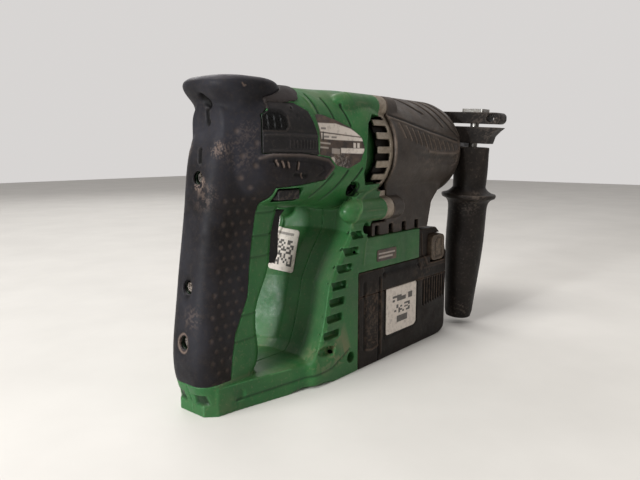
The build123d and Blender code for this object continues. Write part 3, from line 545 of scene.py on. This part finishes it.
# Rear outline of the web beside the hand opening, in side view.
WEB_EDGE = [(44, 132), (41, 112), (28, 90), (18, 73), (13.5, 52), (9, 37), (4, 25)]
# Screws in the back of the handle, in side view.
SCREWS = ((-78.6, UPPER_SCREW_Z), (-83.2, LOWER_SCREW_Z), (-68.2, 154.4))


def casing_half(side, name, node):
    """One half of the green casing; side is -1 for the right half and 1 for the left."""
    adds = [
        ellipsoid((47, side * 26, 205), (17, 9.2, 9.2)),
        ellipsoid((49, side * 34.6, 126), (14, 9.3, 9.3)),
    ]
    if side < 0:
        adds.append(rod((-58, -13, 11), (-58, -20.7, 11), 5.4))
    else:
        rear = [(x + 1.5, z) for x, z in WEB_EDGE] + [(x + 9, z) for x, z in reversed(WEB_EDGE)]
        adds.append(side_prism(rear, 33.6, 37.4))
    hole_x, hole_z = 47.2, 143
    hole = rod((hole_x, side * 16, hole_z), (hole_x, side * 60, hole_z), 4.7)
    clay = settle(node_copy(node), 0.75, 3, adds, (hole,))
    foot = (np.abs(clay.co[:, 1]) > 28) * (clay.co[:, 2] < 34)
    clay.relax(np.clip(1.6 - np.abs(clay.co[:, 0] - 2) / 12, 0, 1) * foot, 140)
    flank = np.abs(clay.co[:, 1]) > 15
    # Grooves darkened inside with painted shade.
    for line in (((5, 210), (9, 197)), ((20, 208), (25, 194)), ((35, 204.5), (41, 189))):
        clay.groove(line, XZ, 1.5, 1.0, (0, side * 0.75, 0.66), 1.0, where=flank)
    for line in (((24, 155.5), (7, 139)), ((38.5, 157), (22, 135.5)), ((52, 158.5), (44, 148))):
        clay.groove(line, XZ, 1.5, 0.9, (0, side * 0.8, -0.4), 0.9, where=flank)
    x, y, z = clay.co.T
    handle = (x < -8) & (x > -66)
    # Grooves round the handle, darkened with painted shade.
    for height in (130.4, 115.1, 100.9, 62.7, 45.9):
        clay.groove(((-66, height), (-8, height)), XZ, 1.2, 0.5, (0.3, side, 0), 0.4, where=handle)
    for line in (((0, 207.5), (5, 198), (8.6, 183), (7, 169)),
                 ((74, 143.5), (60, 139), (50, 133), (44.5, 124), (45, 114))):
        clay.groove(line, XZ, 1.6, -0.6, (0, side, 0), 0, 0.3, where=flank)
    clay.groove(((68, 113), (60.5, 100), (58.5, 84)), XZ, 1.5, -0.5, (0, side, 0), 0, 0.25, where=flank)
    # Groove along the foot, darkened with painted shade.
    clay.groove(((-60, 7.5), (-10, 9), (20, 11), (40, 20)), XZ, 1.5, 0.6, (0, side, 0), 0.6, where=flank)
    sill = ((-75, 21), (-20, 20.5), (0, 22.5), (14, 32))
    clay.groove(sill, XZ, 2.2, -0.3, (0, side, 0.2), 0, 0.25, where=flank)
    # Recess in the chin, pushed in and darkened with painted shade.
    chin = ((side * 5, 7.5), (side * 15, 8.5), (side * 14, 14.5), (side * 6, 14))
    chin = clay.inside(chin, YZ, (-0.9, 0, 0), 0.8) * (x < -70)
    clay.push(-1.6 * chin)
    clay.coat("shade_and_print", 0.8 * chin)
    # Painted shade round the hole in the flank.
    clay.well((hole_x, hole_z), 5.6, (0, side, 0), flank)
    # Painted shade on the casing behind the screw holes in the handle.
    for reach, height in SCREWS:
        clay.dimple((reach + 4, 0, height), 14, 0, 0, 3.0)
    # Painted shade along the seam between the casing and the covers.
    seam = ((-47, 166.5), (6.5, 166.8), (6.5, 171.4), (-37, 171.4), (-37, 203.6), (-47, 203))
    clay.coat("shade_and_print", clay.inside(seam, XZ, (0, side, 0), 0.4))
    # Painted shade over the scoop.
    scoop = ((67, 198), (59.5, 191), (58.2, 180), (57.5, 166), (55.5, 154), (59, 147.5), (81, 147), (81, 198))
    clay.coat("shade_and_print", 0.55 * clay.inside(scoop, XZ, (0, side, 0), 0.6) * (np.abs(y) < 38.5))
    web = (x > -2) & (x < 52) & (np.abs(y) > 20) & (z < 40)
    clay.scuff((30, side * 36, 24), 17, 0.8, 210, where=web)
    clay.scuff((12, side * 30, 18), 16, 0.5, 160)
    clay.scuff((-64, side * 10, 4), 16, 0.35, 180)
    clay.scuff((66, side * 42, 125), 12, 0.6, 260)
    clay.scuff((60, side * 30, 208), 14, 0.35, 260)
    return clay.piece(name, "housing", "green_casing", (node,), MOST_TRIANGLES)


casing_right = casing_half(-1, "casing_right", "right_housing")
casing_left = casing_half(1, "casing_left", "left_housing")


# ---- rubber over the handle and the horn -----------------------------------------------------

def rubber_grip():
    """Rubber cover: pits and screw wells down its back, a ribbed lip on the horn, rows of worn dimples."""
    clay = settle(node_copy("grip_cover"), 0.75, 4)
    z = clay.co[:, 2]
    clay.relax(np.clip((z - 184) / 8, 0, 1), 14)
    clay.relax(np.clip((z - 130) / 8, 0, 1) * np.clip((190 - z) / 8, 0, 1), 6)
    back = (-1, 0, 0)
    rear = clay.co[:, 0] < -55
    # Slots, a pit and screw wells down the back, darkened with painted shade.
    clay.groove(((0.6, 204.5), (-2.6, 200.5)), YZ, 4.2, 2.4, back, 1.6, where=rear)
    clay.groove(((-0.8, 196.5), (-1.4, 190.5)), YZ, 2.5, 2.0, back, 1.5, where=rear)
    clay.dimple((-62, -1.4, 189.3), 3.4, 1.4, 0, 1.5, back)
    clay.groove(((0.4, 172), (-1.6, 164)), YZ, 2.4, 2.0, back, 1.5, where=rear)
    for height in (UPPER_SCREW_Z, LOWER_SCREW_Z):
        low = (clay.co[:, 0] < -60) & (np.abs(clay.co[:, 2] - height) < 14)
        clay.groove(((0, height + 4.5), (0, height - 4.5)), YZ, 5.8, 0.9, back, 0.7, where=low)
    for side in (-1, 1):
        face = (0, side, 0)
        flank = clay.co[:, 1] * side > 8
        rim = ((-42.5, 166.8), (-34, 168.8), (-20, 168.6), (-8, 168.4), (7, 166.8), (18, 164.8), (24.2, 160),
               (16, 152.6))
        clay.groove(rim, XZ, 1.9, -0.8, face, 0, 0.16, where=flank)
        # Inner groove and rib grooves, darkened with painted shade.
        inner = ((-36, 164.6), (-20, 165), (2, 163.6), (12, 161), (15, 157.5), (8, 154.4))
        clay.groove(inner, XZ, 1.4, 0.5, face, 0.5, where=flank)
        for line in (((-33, 165.5), (-31.6, 162)), ((-28.3, 164.8), (-27.2, 161)),
                     ((-23.8, 164.2), (-23, 160.6)), ((-14.2, 164), (-15.2, 159.2))):
            clay.groove(line, XZ, 1.3, 1.0, face, 1.0, where=flank)
            clay.groove([(a + 1.3, b) for a, b in line], XZ, 0.8, -0.3, face, 0, 0.4, where=flank)
        clay.groove(((-17, 155.6), (-6, 154.6)), XZ, 2.0, 1.0, face, 1.0, where=flank)
        clay.groove(((-11, 156.4), (-10, 153.4)), XZ, 0.9, -0.8, face, 0, 0.4, where=flank)
        for x, out, height in ((-54.9, 20.6, 183.8), (-64.2, 14.8, 173.9), (-52.1, 22.6, 168.2),
                               (-44.2, 27.3, 176.4), (-45, 26.9, 161.9), (-53, 21.3, 154.4),
                               (-46.8, 22.9, 147.8)):
            clay.dimple((x, side * out, height), 2.9, 0.6, 0.15, 0.0, face)
        for row in range(17):
            height = 140 - 7.4 * row
            for column in range(5):
                back_edge = np.interp(height, [22, 50, 85, 116, 140], [-80, -82, -77, -71, -68])
                reach = back_edge + 4 + 7.6 * column + 3.8 * (row % 2)
                if reach < np.interp(height, [34, 63, 96, 130], [-62, -53, -46, -41]):
                    spot = clay.nearest((reach, side * 40, height), (1, 0.05, 1))
                    clay.dimple(spot, 2.4, 0.8, 0.13, 0.0, face)
        clay.scuff((-53, side * 20, 170), 15, 0.08, 420)
        clay.scuff((-64, side * 14, 172), 7, 0.3, 600)
        clay.scuff((-48, side * 24, 184), 9, 0.09, 420)
        clay.groove(((-54.4, 213), (-53.2, 211.4), (-51.8, 211.8)), XZ, 0.8, 0.25, face, 0, 0.5, where=flank)
    across = np.hypot(clay.co[:, 1], (clay.co[:, 2] - LOWER_SCREW_Z) * 0.75)
    ring = np.clip(1 - np.abs(across - 4.6) / 0.8, 0, 1) * (clay.co[:, 0] < -70)
    clay.coat("wear", 0.5 * ring)
    clay.scuff((-71, -3, 150.5), 6.5, 0.5, 420)
    clay.scuff((-72, -8, 143), 11, 0.14, 320)
    clay.scuff((-84, -6, 66), 9, 0.12, 420)
    return clay.piece("grip_rubber_cover", "housing", "grip_rubber", ("grip_cover",), MOST_TRIANGLES)


rubber_grip()


# ---- side covers and name plate --------------------------------------------------------------

def side_cover(side, name, node):
    """Black cover beside the horn: a ridge, an embossed row of bars, a screw and a torn pocket behind, the
    pocket and the screw holes darkened with painted shade.
    """
    clay = settle(node_copy(node), 0.4, 3)
    face = (0, side, 0)
    x, y, z = clay.co.T
    out = y * side > 20
    clay.groove(((-39, 181.6), (-20, 181.8), (7, 181.2)), XZ, 1.3, -0.6, face, 0, 0.1, where=out)
    clay.groove(((-39, 183.6), (-20, 183.8), (5, 183.2)), XZ, 1.2, 0.3, face, 0.3, where=out)
    for index in range(9):
        start = -21 + 3.1 * index
        clay.groove(((start, 178), (start, 173.6)), XZ, 1.0, -0.6, face, 0, 0.08, where=out)
    clay.groove(((-36, 171.8), (4, 171.4)), XZ, 1.0, -0.4, face, 0, 0.15, where=out)
    # Torn pocket, pushed in and darkened with painted shade.
    torn = ((-41, 184.6), (-41, 194), (-35, 197.5), (-27, 197), (-23, 193.5), (-21.5, 187), (-24, 184.4))
    torn = clay.inside(torn, XZ, face, 1.2) * out
    wave = np.sin(x * 2.1 + z * 0.7) * np.sin(z * 1.9 - x * 0.4)
    clay.push(-(1.25 + 0.3 * wave) * torn)
    clay.coat("shade_and_print", torn)
    for start in (-36.5, -32, -27.4):
        clay.groove(((start, 194), (start + 0.8, 186)), XZ, 1.0, -1.1, face, 0, 0.3, where=out)
    rim = ((-40.6, 184.2), (-23.6, 184.2), (-21, 187.4), (-22.6, 194))
    clay.groove(rim, XZ, 0.9, -0.35, face, 0, 0.5, where=out)
    # Screw with painted shade in its socket and in the hole beside it.
    clay.dimple((-18.9, side * 32.7, 199.3), 3.4, -1.0, 0.2, 0, face)
    clay.dimple((-18.9, side * 33.4, 199.3), 1.4, 0.9, 0, 1.0, face)
    clay.dimple((-14, side * 33.4, 194), 3.0, 0.7, 0, 0.9, face)
    clay.scuff((-16, side * 34, 180), 14, 0.15, 420)
    return clay.piece(name, "housing", "black_plastic", (node,), 120000)


side_cover(-1, "side_cover_right", "right_side_cover")
side_cover(1, "side_cover_left", "left_side_cover")


def film_plate(name, node):
    """Name plate with plain pale stripes, a box, a disc and a tag in place of print."""
    clay = settle(node_copy(node), 0.35, 2)
    face = (0, -1, 0)
    stripes = (
        ((6.4, 190.6), (26, 190.6), (40, 187.4), (51.5, 181.6), (30, 183.4), (9, 184.8)),
        ((9.6, 183.9), (30, 182.6), (51.8, 180.8), (52.6, 178.4), (30, 179), (10.4, 179.7)),
        ((31, 169.8), (53, 169.2), (53.2, 173), (31, 173.4)),
        ((26.6, 158.8), (31, 158.2), (31, 160), (26.6, 160.6)),
    )
    for outline in stripes:
        clay.ink(outline, XZ, face, "wear", 0.95)
    clay.ink(((21.5, 169.6), (30, 168.9), (30, 172.8), (21.5, 173.4)), XZ, face, "wear", 0.45)
    clay.ink(((9, 176.6), (20, 175.8), (20, 177), (9, 177.6)), XZ, face, "wear", 0.55)
    clay.ink(((9, 173.4), (18, 172.8), (18, 174), (9, 174.6)), XZ, face, "wear", 0.5)
    for start, height in ((9.5, 187), (13, 181.3), (21, 181)):
        box = ((start, height - 0.7), (start + 5.5, height - 0.8), (start + 5.5, height + 0.6),
               (start, height + 0.7))
        clay.ink(box, XZ, face, "shade_and_print", 0.7)
    clay.ink(((11, 178.6), (13, 178.4), (12.6, 184.6), (11.4, 184.8)), XZ, face, "shade_and_print", 1.0)
    disc = [(22.5 + 2.7 * cos(a), 164.4 + 2.7 * sin(a)) for a in np.linspace(0, 2 * pi, 20, endpoint=False)]
    clay.ink(disc, XZ, face, "wear", 0.75)
    for start in (43, 46.6):
        box = ((start, 173.6), (start + 2.2, 173.4), (start + 2.2, 177), (start, 177.2))
        clay.ink(box, XZ, face, "wear", 0.9)
    clay.scuff((30, -38, 163), 12, 0.22, 520)
    return clay.piece(name, "housing", "plate_film", (node,), 120000)


film_plate("name_plate_film", "name_plate")


# ---- gear cover ------------------------------------------------------------------------------

def gear_cover():
    """Dusty front cover: stepped top, groove, framed panel with plain slanted ribs, and a lower wedge."""
    clay = settle(node_copy("gear_cover"), 0.9, 3)
    for side in (-1, 1):
        face = (0, side, 0)
        up = (0, side * 0.6, 0.6)
        out = clay.co[:, 1] * side > 14
        # Grooves darkened with painted shade, each with a raised edge beside it.
        for arc, deep in (
            (((128, 216), (134, 211), (141, 206), (147, 203)), 0.8),
            (((152, 216), (158, 208), (165, 199), (171, 192)), 1.0),
            (((168, 216), (176, 201), (186, 190), (196, 184)), 1.0),
            (((180, 216), (188, 203), (195, 192), (200, 184)), 0.8),
        ):
            clay.groove(arc, XZ, 1.6, deep, up, 0.8, where=out)
            clay.groove([(a + 2.3, b + 0.6) for a, b in arc], XZ, 1.8, -0.5, up, 0, 0.3, where=out)
        # Long groove, darkened with painted shade.
        line = ((93, 199.8), (117, 194.2), (146, 188.4), (170, 184.6), (194, 180.6))
        clay.groove(line, XZ, 1.6, 1.1, face, 0.9, where=out)
        clay.groove([(a, b - 2.6) for a, b in line], XZ, 1.7, -0.6, face, 0, 0.4, where=out)
        frame_line = ((197.5, 180.2), (197, 171.4), (188, 169.2), (162, 169.4), (140, 171))
        clay.groove(frame_line, XZ, 2.0, -0.9, face, 0, 0.55, where=out)
        for index in range(11):
            start = 99 + 8 * index
            top = np.interp(start, *zip(*line)) - 6
            bottom = max(top - 10.5, 172.8)
            ridge = ((start + 1.5, top), (start + 5.2, bottom))
            clay.groove(ridge, XZ, 1.7, -1.0, face, 0, 0.5, where=out)
            shade = ((start + 4.0, top), (start + 7.6, bottom))
            clay.groove(shade, XZ, 1.3, 0.5, face, 0.75, where=out)
        wedge = ((113.6, 171.2), (122, 170), (150, 167.2), (186, 165.2), (192, 166.4), (192.5, 160.4),
                 (186, 159.2), (150, 161.8), (124, 165))
        clay.push(-1.2 * clay.inside(wedge, XZ, face, 1.5) * out)
        shade = ((113.6, 171.2), (150, 167.6), (192, 166.4), (192, 163.6), (150, 164.4), (120, 168))
        clay.coat("shade_and_print", 0.5 * clay.inside(shade, XZ, face, 1.2) * out)
        clay.groove(((186, 158.4), (193, 160), (195, 168)), XZ, 1.4, -0.5, face, 0, 0.4, where=out)
        clay.groove(((90, 204), (92, 190), (92, 158), (88, 142)), XZ, 1.6, -0.3, face, 0, 0.3, where=out)
        clay.scuff((150, side * 44, 172), 28, 0.5, 200)
        clay.scuff((190, side * 42, 172), 14, 0.7, 240)
        clay.scuff((110, side * 38, 112), 24, 0.35, 200)
    return clay.piece("gear_cover_shell", "housing", "grey_cover", ("gear_cover",), MOST_TRIANGLES)


gear_cover()


def slotted_ring():
    """Aluminium ring darkened all over with painted shade, fully on the ground between its teeth, and scuffed
    bosses.
    """
    clay = settle(node_copy("inner_cover"), 0.6, 2)
    x, y, z = clay.co.T
    reach = np.hypot(y, z - BARREL_Z)
    sunk = np.clip((41.7 - reach) / 0.8, 0, 1) * (reach > 30) * (x < 88)
    # Painted shade: the whole ring a little, the ground between the teeth fully.
    clay.paint["shade_and_print"] = np.maximum(0.28, sunk * (np.abs(z - BARREL_Z) < 27))
    for side in (-1, 1):
        for spot in ((84, side * 29, 209), (85, side * 38, 124), (84, side * 36, 187), (86, side * 37, 158)):
            clay.scuff(spot, 9, 0.6, 300)
    return clay.piece("slotted_ring", "housing", "cast_aluminium", ("inner_cover",), MOST_TRIANGLES)


slotted_ring()


# ---- battery ---------------------------------------------------------------------------------

def battery_shell(name, node, low):
    """Battery moulding; low is true for the lower of its two halves."""
    clay = settle(node_copy(node), 0.8, 3)
    for side in (-1, 1):
        face = (0, side, 0)
        out = clay.co[:, 1] * side > 25
        # Grooves with a dark amount are darkened inside with painted shade.
        clay.groove(((80.5, 6), (80.5, 70)), XZ, 1.8, 0.9, face, 0.9, where=out)
        clay.groove(((83.5, 6), (83.5, 68)), XZ, 1.6, -0.4, face, 0, 0.4, where=out)
        clay.groove(((60, 16), (60, 68)), XZ, 3.0, 0.9, face, 0.4, where=out)
        clay.scuff((74, side * 38, 48), 20, 0.75, 260, where=out)
        clay.scuff((74, side * 38, 26), 18, 0.6, 260, where=out)
        clay.scuff((150, side * 38, 62), 22, 0.35, 220, where=out)
        if low:
            frame_line = ((88, 16.5), (88, 60), (139, 60), (139, 21), (132, 18), (88, 16.5))
            clay.groove(frame_line, XZ, 1.5, 0.7, face, 0.8, where=out)
            # Vent slots, darkened inside with painted shade.
            for index in range(9):
                start = 150.5 + 4.5 * index
                clay.groove(((start, 34 + 0.4 * index), (start, 56)), XZ, 1.75, 2.2, face, 1.3, where=out)
            clay.groove(((147, 59), (192, 59)), XZ, 1.3, -0.5, face, 0, 0.5, where=out)
            clay.groove(((62, 14), (70, 12.4), (79, 14)), XZ, 1.5, -0.9, face, 0, 0.6, where=out)
            clay.groove(((79, 12), (79, 1)), XZ, 1.5, 0.6, face, 0.6, where=out)
        else:
            # Recessed band and screw holes, darkened with painted shade.
            band = clay.inside(((87, 71.5), (141, 71.5), (141, 77.5), (87, 77.5)), XZ, face, 1.2) * out
            clay.push(-0.9 * band)
            clay.coat("shade_and_print", 0.8 * band)
            clay.dimple((87, side * 38, 71), 3.2, 1.4, 0, 1.0, face)
            clay.dimple((142, side * 38, 71.6), 3.6, 1.4, 0, 1.0, face)
            clay.groove(((150, 67.5), (190, 67.5)), XZ, 1.3, -0.5, face, 0, 0.35, where=out)
            hood = ((150, 98), (152, 76), (156, 70), (188, 70))
            clay.groove(hood, XZ, 1.8, -0.7, face, 0, 0.35, where=clay.co[:, 1] * side > 25)
    return clay.piece(name, "battery", "battery_plastic", (node,), 150000)


battery_low = battery_shell("battery_lower_shell", "battery_case", True)
battery_shell("battery_upper_shell", "battery_cover", False)


def latch_pad(side, name, node):
    """Worn latch pad with a shallow groove round its face."""
    clay = settle(node_copy(node), 0.45, 4)
    x, y, z = clay.co.T
    out = y * side > 30
    middle = (x.min() + x.max()) / 2
    height = (z.min() + z.max()) / 2
    ring = [(middle + a, height + b) for a, b in ((-5, -8), (-6, 5), (-2, 9), (5, 8.5), (6.5, -8), (-5, -8))]
    # Groove round the face, darkened with painted shade.
    clay.groove(ring, XZ, 1.6, 0.7, (0, side, 0), 0.35, where=out)
    clay.scuff((middle, side * 38, height), 15, 0.6, 260)
    return clay.piece(name, BODY_OF[node], "latch_plastic", (node,), 60000)


latch_pad(-1, "latch_pad_right", "right_latch_button")
latch_pad(1, "latch_pad_left", "left_latch_button")


# ---- side handle and controls ----------------------------------------------------------------

def star_head(name, reach, height):
    """Screw head with a six-pointed socket, facing back."""
    rings = ((3.5, 0, 1.7), (3.5, 0, 0.5), (3.1, 0, 0.1), (1.9, 0.42, 0.0), (1.7, 0.42, 1.1), (0.01, 0, 1.2))
    steps = 72
    bm = bmesh.new()
    loops = []
    for radius, wave, depth in rings:
        loops.append([])
        for a in np.linspace(0, 2 * pi, steps, endpoint=False):
            wide = radius + wave * cos(6 * a)
            spot = (reach + depth, wide * cos(a), height + wide * sin(a))
            loops[-1].append(bm.verts.new(Vector(spot) * MM))
    for inner, outer in zip(loops[1:], loops):
        for k in range(steps):
            after = (k + 1) % steps
            bm.faces.new((outer[k], outer[after], inner[after], inner[k]))
    bm.faces.new(loops[0])
    bm.faces.new(list(reversed(loops[-1])))
    place(from_bmesh(name, bm), "housing", "screw_steel")


star_head("rear_screw_upper", -79.2, UPPER_SCREW_Z)
star_head("rear_screw_lower", -82.6, LOWER_SCREW_Z)


def soft_copy(name, node, voxel, rounds, marks=()):
    """CAD node with its edges rounded, and scuffed where marks say: centre, radius and amount."""
    clay = settle(node_copy(node), voxel, rounds)
    for centre, radius, amount in marks:
        clay.scuff(centre, radius, amount, 260)
    return clay.piece(name, BODY_OF[node], SLOT_OF[node], (node,), 100000)


soft_copy("clamp_ring_shell", "clamp_ring", 0.55, 3, (
    ((222, -70, 204), 14, 0.6), ((222, -55, 200), 14, 0.35), ((222, -62, 190), 10, 0.4)))
soft_copy("trigger_blade", "trigger", 0.4, 3)
soft_copy("reversing_knob", "reversing_lever", 0.45, 16, (
    ((-17, -28, 142), 14, 0.7), ((-17, 28, 142), 14, 0.7)))
soft_copy("mode_knob_cap", "mode_knob", 0.45, 3)


def side_grip():
    """Grip with flats cut on its neck; it leans 3.3 degrees from upright."""
    clay = settle(node_copy("side_grip"), 0.75, 3)
    foot = np.array((228, -42.93, 169.52))
    up = np.array((0, -0.05756, 0.99834))
    across = np.array((0, 0.99834, 0.05756))
    offset = clay.co - foot
    height = offset @ up
    neck = (height > -31) & (height < 8)
    for turn in (35, 125, 215, 305):
        normal = np.array((1, 0, 0)) * cos(radians(turn)) + across * sin(radians(turn))
        limit = 14.2 + np.clip(-height / 31, 0, 1) * 2.2
        over = np.clip(clay.co @ normal - foot @ normal - limit, 0, 2.6) * neck
        clay.co -= over[:, None] * normal
    clay.refresh()
    for reach in (-48, -156):
        clay.scuff(foot + up * reach + np.array((-14, -8, 0)), 14, 0.35, 240)
    clay.scuff(foot + up * -41 + np.array((-18, -18, 0)), 12, 0.5, 240)
    return clay.piece("side_grip_shell", "side_grip", "handle_plastic", ("side_grip",), 150000)


side_grip()


# ---- films and torn rubber -------------------------------------------------------------------

def within(outline, a, b):
    """True if a point lies inside an outline."""
    inside = False
    for (a0, b0), (a1, b1) in zip(outline, outline[1:] + outline[:1]):
        if (b0 > b) != (b1 > b) and a < a0 + (b - b0) * (a1 - a0) / (b1 - b0):
            inside = not inside
    return inside


def film(name, body, centre, right, up, target, steps, prints, thick=0.25, corner=0.12, slot="plate_film",
         base=1.0, outline=None):
    """Thin sheet laid on a target piece; prints are boxes in shares of its width and height.

    Right and up are its edges, steps its cells along them, base its wear, and outline its side view.
    """
    centre, right, up = (Vector(v) * MM for v in (centre, right, up))
    normal = right.cross(up).normalized()
    graph = bpy.context.evaluated_depsgraph_get()
    tree = BVHTree.FromObject(target, graph)
    across, along = steps
    bm = bmesh.new()
    tops, shares = {}, {}
    for i in range(across + 1):
        for j in range(along + 1):
            s, t = i / across, j / along
            start = centre + right * (s - 0.5) + up * (t - 0.5) + normal * 0.03
            hit = tree.ray_cast(start, -normal, 0.08)
            if hit[0] is None or (outline and not within(outline, hit[0].x / MM, hit[0].z / MM)):
                continue
            tops[i, j] = bm.verts.new(hit[0] + hit[1] * thick * MM)
            shares[i, j] = (s, t)
    for i in range(across):
        for j in range(along):
            keys = ((i, j), (i + 1, j), (i + 1, j + 1), (i, j + 1))
            if all(k in tops for k in keys):
                s, t = (i + 0.5) / across, (j + 0.5) / along
                du, dv = min(s, 1 - s) / corner, min(t, 1 - t) / (corner * right.length / up.length)
                if du < 1 and dv < 1 and (1 - du) ** 2 + (1 - dv) ** 2 > 1:
                    continue
                bm.faces.new([tops[k] for k in keys])
    for key, vert in tops.items():
        if not vert.link_faces:
            bm.verts.remove(vert)
    mesh = bpy.data.meshes.new(name)
    kept = [key for key, vert in tops.items() if vert.is_valid]
    bm.to_mesh(mesh)
    bm.free()
    wear = np.full(len(kept), base)
    shade_and_print = np.zeros(len(kept))
    for index, key in enumerate(kept):
        s, t = shares[key]
        for low_s, low_t, high_s, high_t, kind, value in prints:
            if low_s <= s <= high_s and low_t <= t <= high_t:
                (wear if kind == "wear" else shade_and_print)[index] = value
    for label, values in (("wear", wear), ("shade_and_print", shade_and_print)):
        layer = mesh.attributes.new(label, "FLOAT", "POINT")
        layer.data.foreach_set("value", values.astype(np.float32))
    obj = add_object(name, mesh)
    step = obj.modifiers.new("thick", "SOLIDIFY")
    step.thickness = 2 * thick * MM
    step.offset = 0
    return place(obj, body, slot)


def blocks(seed, columns, rows, box, share=0.5):
    """Random grid of dark squares inside a box, in shares of a film's width and height."""
    pick = np.random.default_rng(seed)
    s0, t0, s1, t1 = box
    out = []
    for i in range(columns):
        for j in range(rows):
            if pick.random() < share:
                a, b = s0 + (s1 - s0) * i / columns, t0 + (t1 - t0) * j / rows
                out.append((a, b, a + (s1 - s0) / columns, b + (t1 - t0) / rows, "shade_and_print", 0.9))
    return out


film("opening_tag", "housing", (35.3, 25.2, 92.1), (6.6, -21.3, -2.4), (18.4, 8.8, 31), casing_left,
     (70, 110), blocks(5, 11, 11, (0.12, 0.12, 0.88, 0.72)) + [(0.2, 0.84, 0.8, 0.9, "shade_and_print", 0.6)])
film("hood_tag", "housing", (90, -38, 88), (28, 0, -0.2), (0, 0, 9.5), casing_right, (84, 30),
     [(0.08, 0.58, 0.92, 0.73, "wear", 0.5), (0.08, 0.25, 0.8, 0.4, "wear", 0.5)], 0.2, 0.06, base=0.0)
film("battery_tag", "battery", (113.8, -38, 39), (47, 0, 0), (0, 0, 40), battery_low, (118, 100),
     blocks(8, 9, 3, (0.2, 0.66, 0.86, 0.78), 0.55) + blocks(9, 8, 5, (0.26, 0.4, 0.78, 0.58), 0.6)
     + [(0.34, 0.2, 0.7, 0.33, "shade_and_print", 0.9)], 0.2, 0.05)
film("torn_flap", "housing", (-20, -26, 205), (46, 0, 0), (0, 17, 24), casing_right, (110, 70),
     [(0, 0, 1, 1, "shade_and_print", 0.6)], 0.5, 0.01, "grip_rubber", 0.04,
     [(-42, 196), (-42, 216), (-3.5, 216), (-3, 212.6), (-4.5, 209.5), (-7, 208), (-8, 205.6),
      (-12, 204), (-18, 203.4), (-27, 201.4), (-34, 198.8)])


# ---- camera and light ------------------------------------------------------------------------

def aim(obj, direction):
    """Turns a camera or a lamp to look along a direction."""
    obj.rotation_mode = "QUATERNION"
    obj.rotation_quaternion = direction.to_track_quat("-Z", "Y")


def add_camera():
    data = bpy.data.cameras.new("camera")
    data.sensor_width = 36
    data.lens = 33.75
    camera = bpy.data.objects.new("camera", data)
    bpy.context.scene.collection.objects.link(camera)
    camera.location = Vector((-314.7, -306.6, 172.0)) * MM
    yaw, dip = radians(40), radians(8.53)
    aim(camera, Vector((cos(yaw) * cos(dip), sin(yaw) * cos(dip), -sin(dip))))
    bpy.context.scene.camera = camera


def add_light(name, place, target, size, watts, colour=(1, 1, 1)):
    data = bpy.data.lights.new(name, "AREA")
    data.shape = "DISK"
    data.size = size
    data.energy = watts
    data.color = colour
    lamp = bpy.data.objects.new(name, data)
    bpy.context.scene.collection.objects.link(lamp)
    lamp.location = place
    aim(lamp, Vector(target) - Vector(place))


def add_studio():
    """Pale room that is bright ahead of the camera and dimmer behind it, with four lamps and a pale floor."""
    world = bpy.data.worlds.new("studio")
    world.use_nodes = True
    tree = world.node_tree
    ground = tree.nodes["Background"]
    ground.inputs["Color"].default_value = (0.90, 0.875, 0.86, 1)
    facing = tree.nodes.new("ShaderNodeVectorMath")
    facing.operation = "DOT_PRODUCT"
    facing.inputs[1].default_value = (0.76, 0.63, 0)
    ramp = tree.nodes.new("ShaderNodeMapRange")
    ramp.inputs["From Min"].default_value = -0.35
    ramp.inputs["From Max"].default_value = 0.6
    ramp.inputs["To Min"].default_value = 0.2
    ramp.inputs["To Max"].default_value = 0.76
    tree.links.new(tree.nodes.new("ShaderNodeTexCoord").outputs["Generated"], facing.inputs[0])
    tree.links.new(facing.outputs["Value"], ramp.inputs["Value"])
    tree.links.new(ramp.outputs["Result"], ground.inputs["Strength"])
    bpy.context.scene.world = world
    add_light("key", (-0.7, 0.1, 1.6), (0.05, 0, 0.1), 0.7, 20, (1, 0.985, 0.96))
    add_light("side", (0.4, -1.5, 0.9), (0.1, 0, 0.1), 0.8, 3, (1, 0.96, 0.92))
    add_light("back", (0.7, 1.4, 1.1), (0.1, 0, 0.1), 1.0, 6)
    add_light("rear", (-1.5, 0.02, 0.42), (0, 0.02, 0.09), 0.2, 17, (0.96, 0.98, 1))
    mesh = bpy.data.meshes.new("studio_floor")
    bm = bmesh.new()
    bmesh.ops.create_grid(bm, x_segments=24, y_segments=24, size=3.0)
    bm.to_mesh(mesh)
    bm.free()
    floor = bpy.data.objects.new("studio_floor", mesh)
    bpy.context.scene.collection.objects.link(floor)
    g = Graph("pale_floor", 0.75)
    colour = g.mix(g.level(g.noise(9, 4), 0.35, 0.65), srgb(214, 211, 206), srgb(220, 217, 212))
    dress(floor, g.finish(colour))


add_camera()
add_studio()
bpy.context.scene.view_settings.view_transform = "Standard"
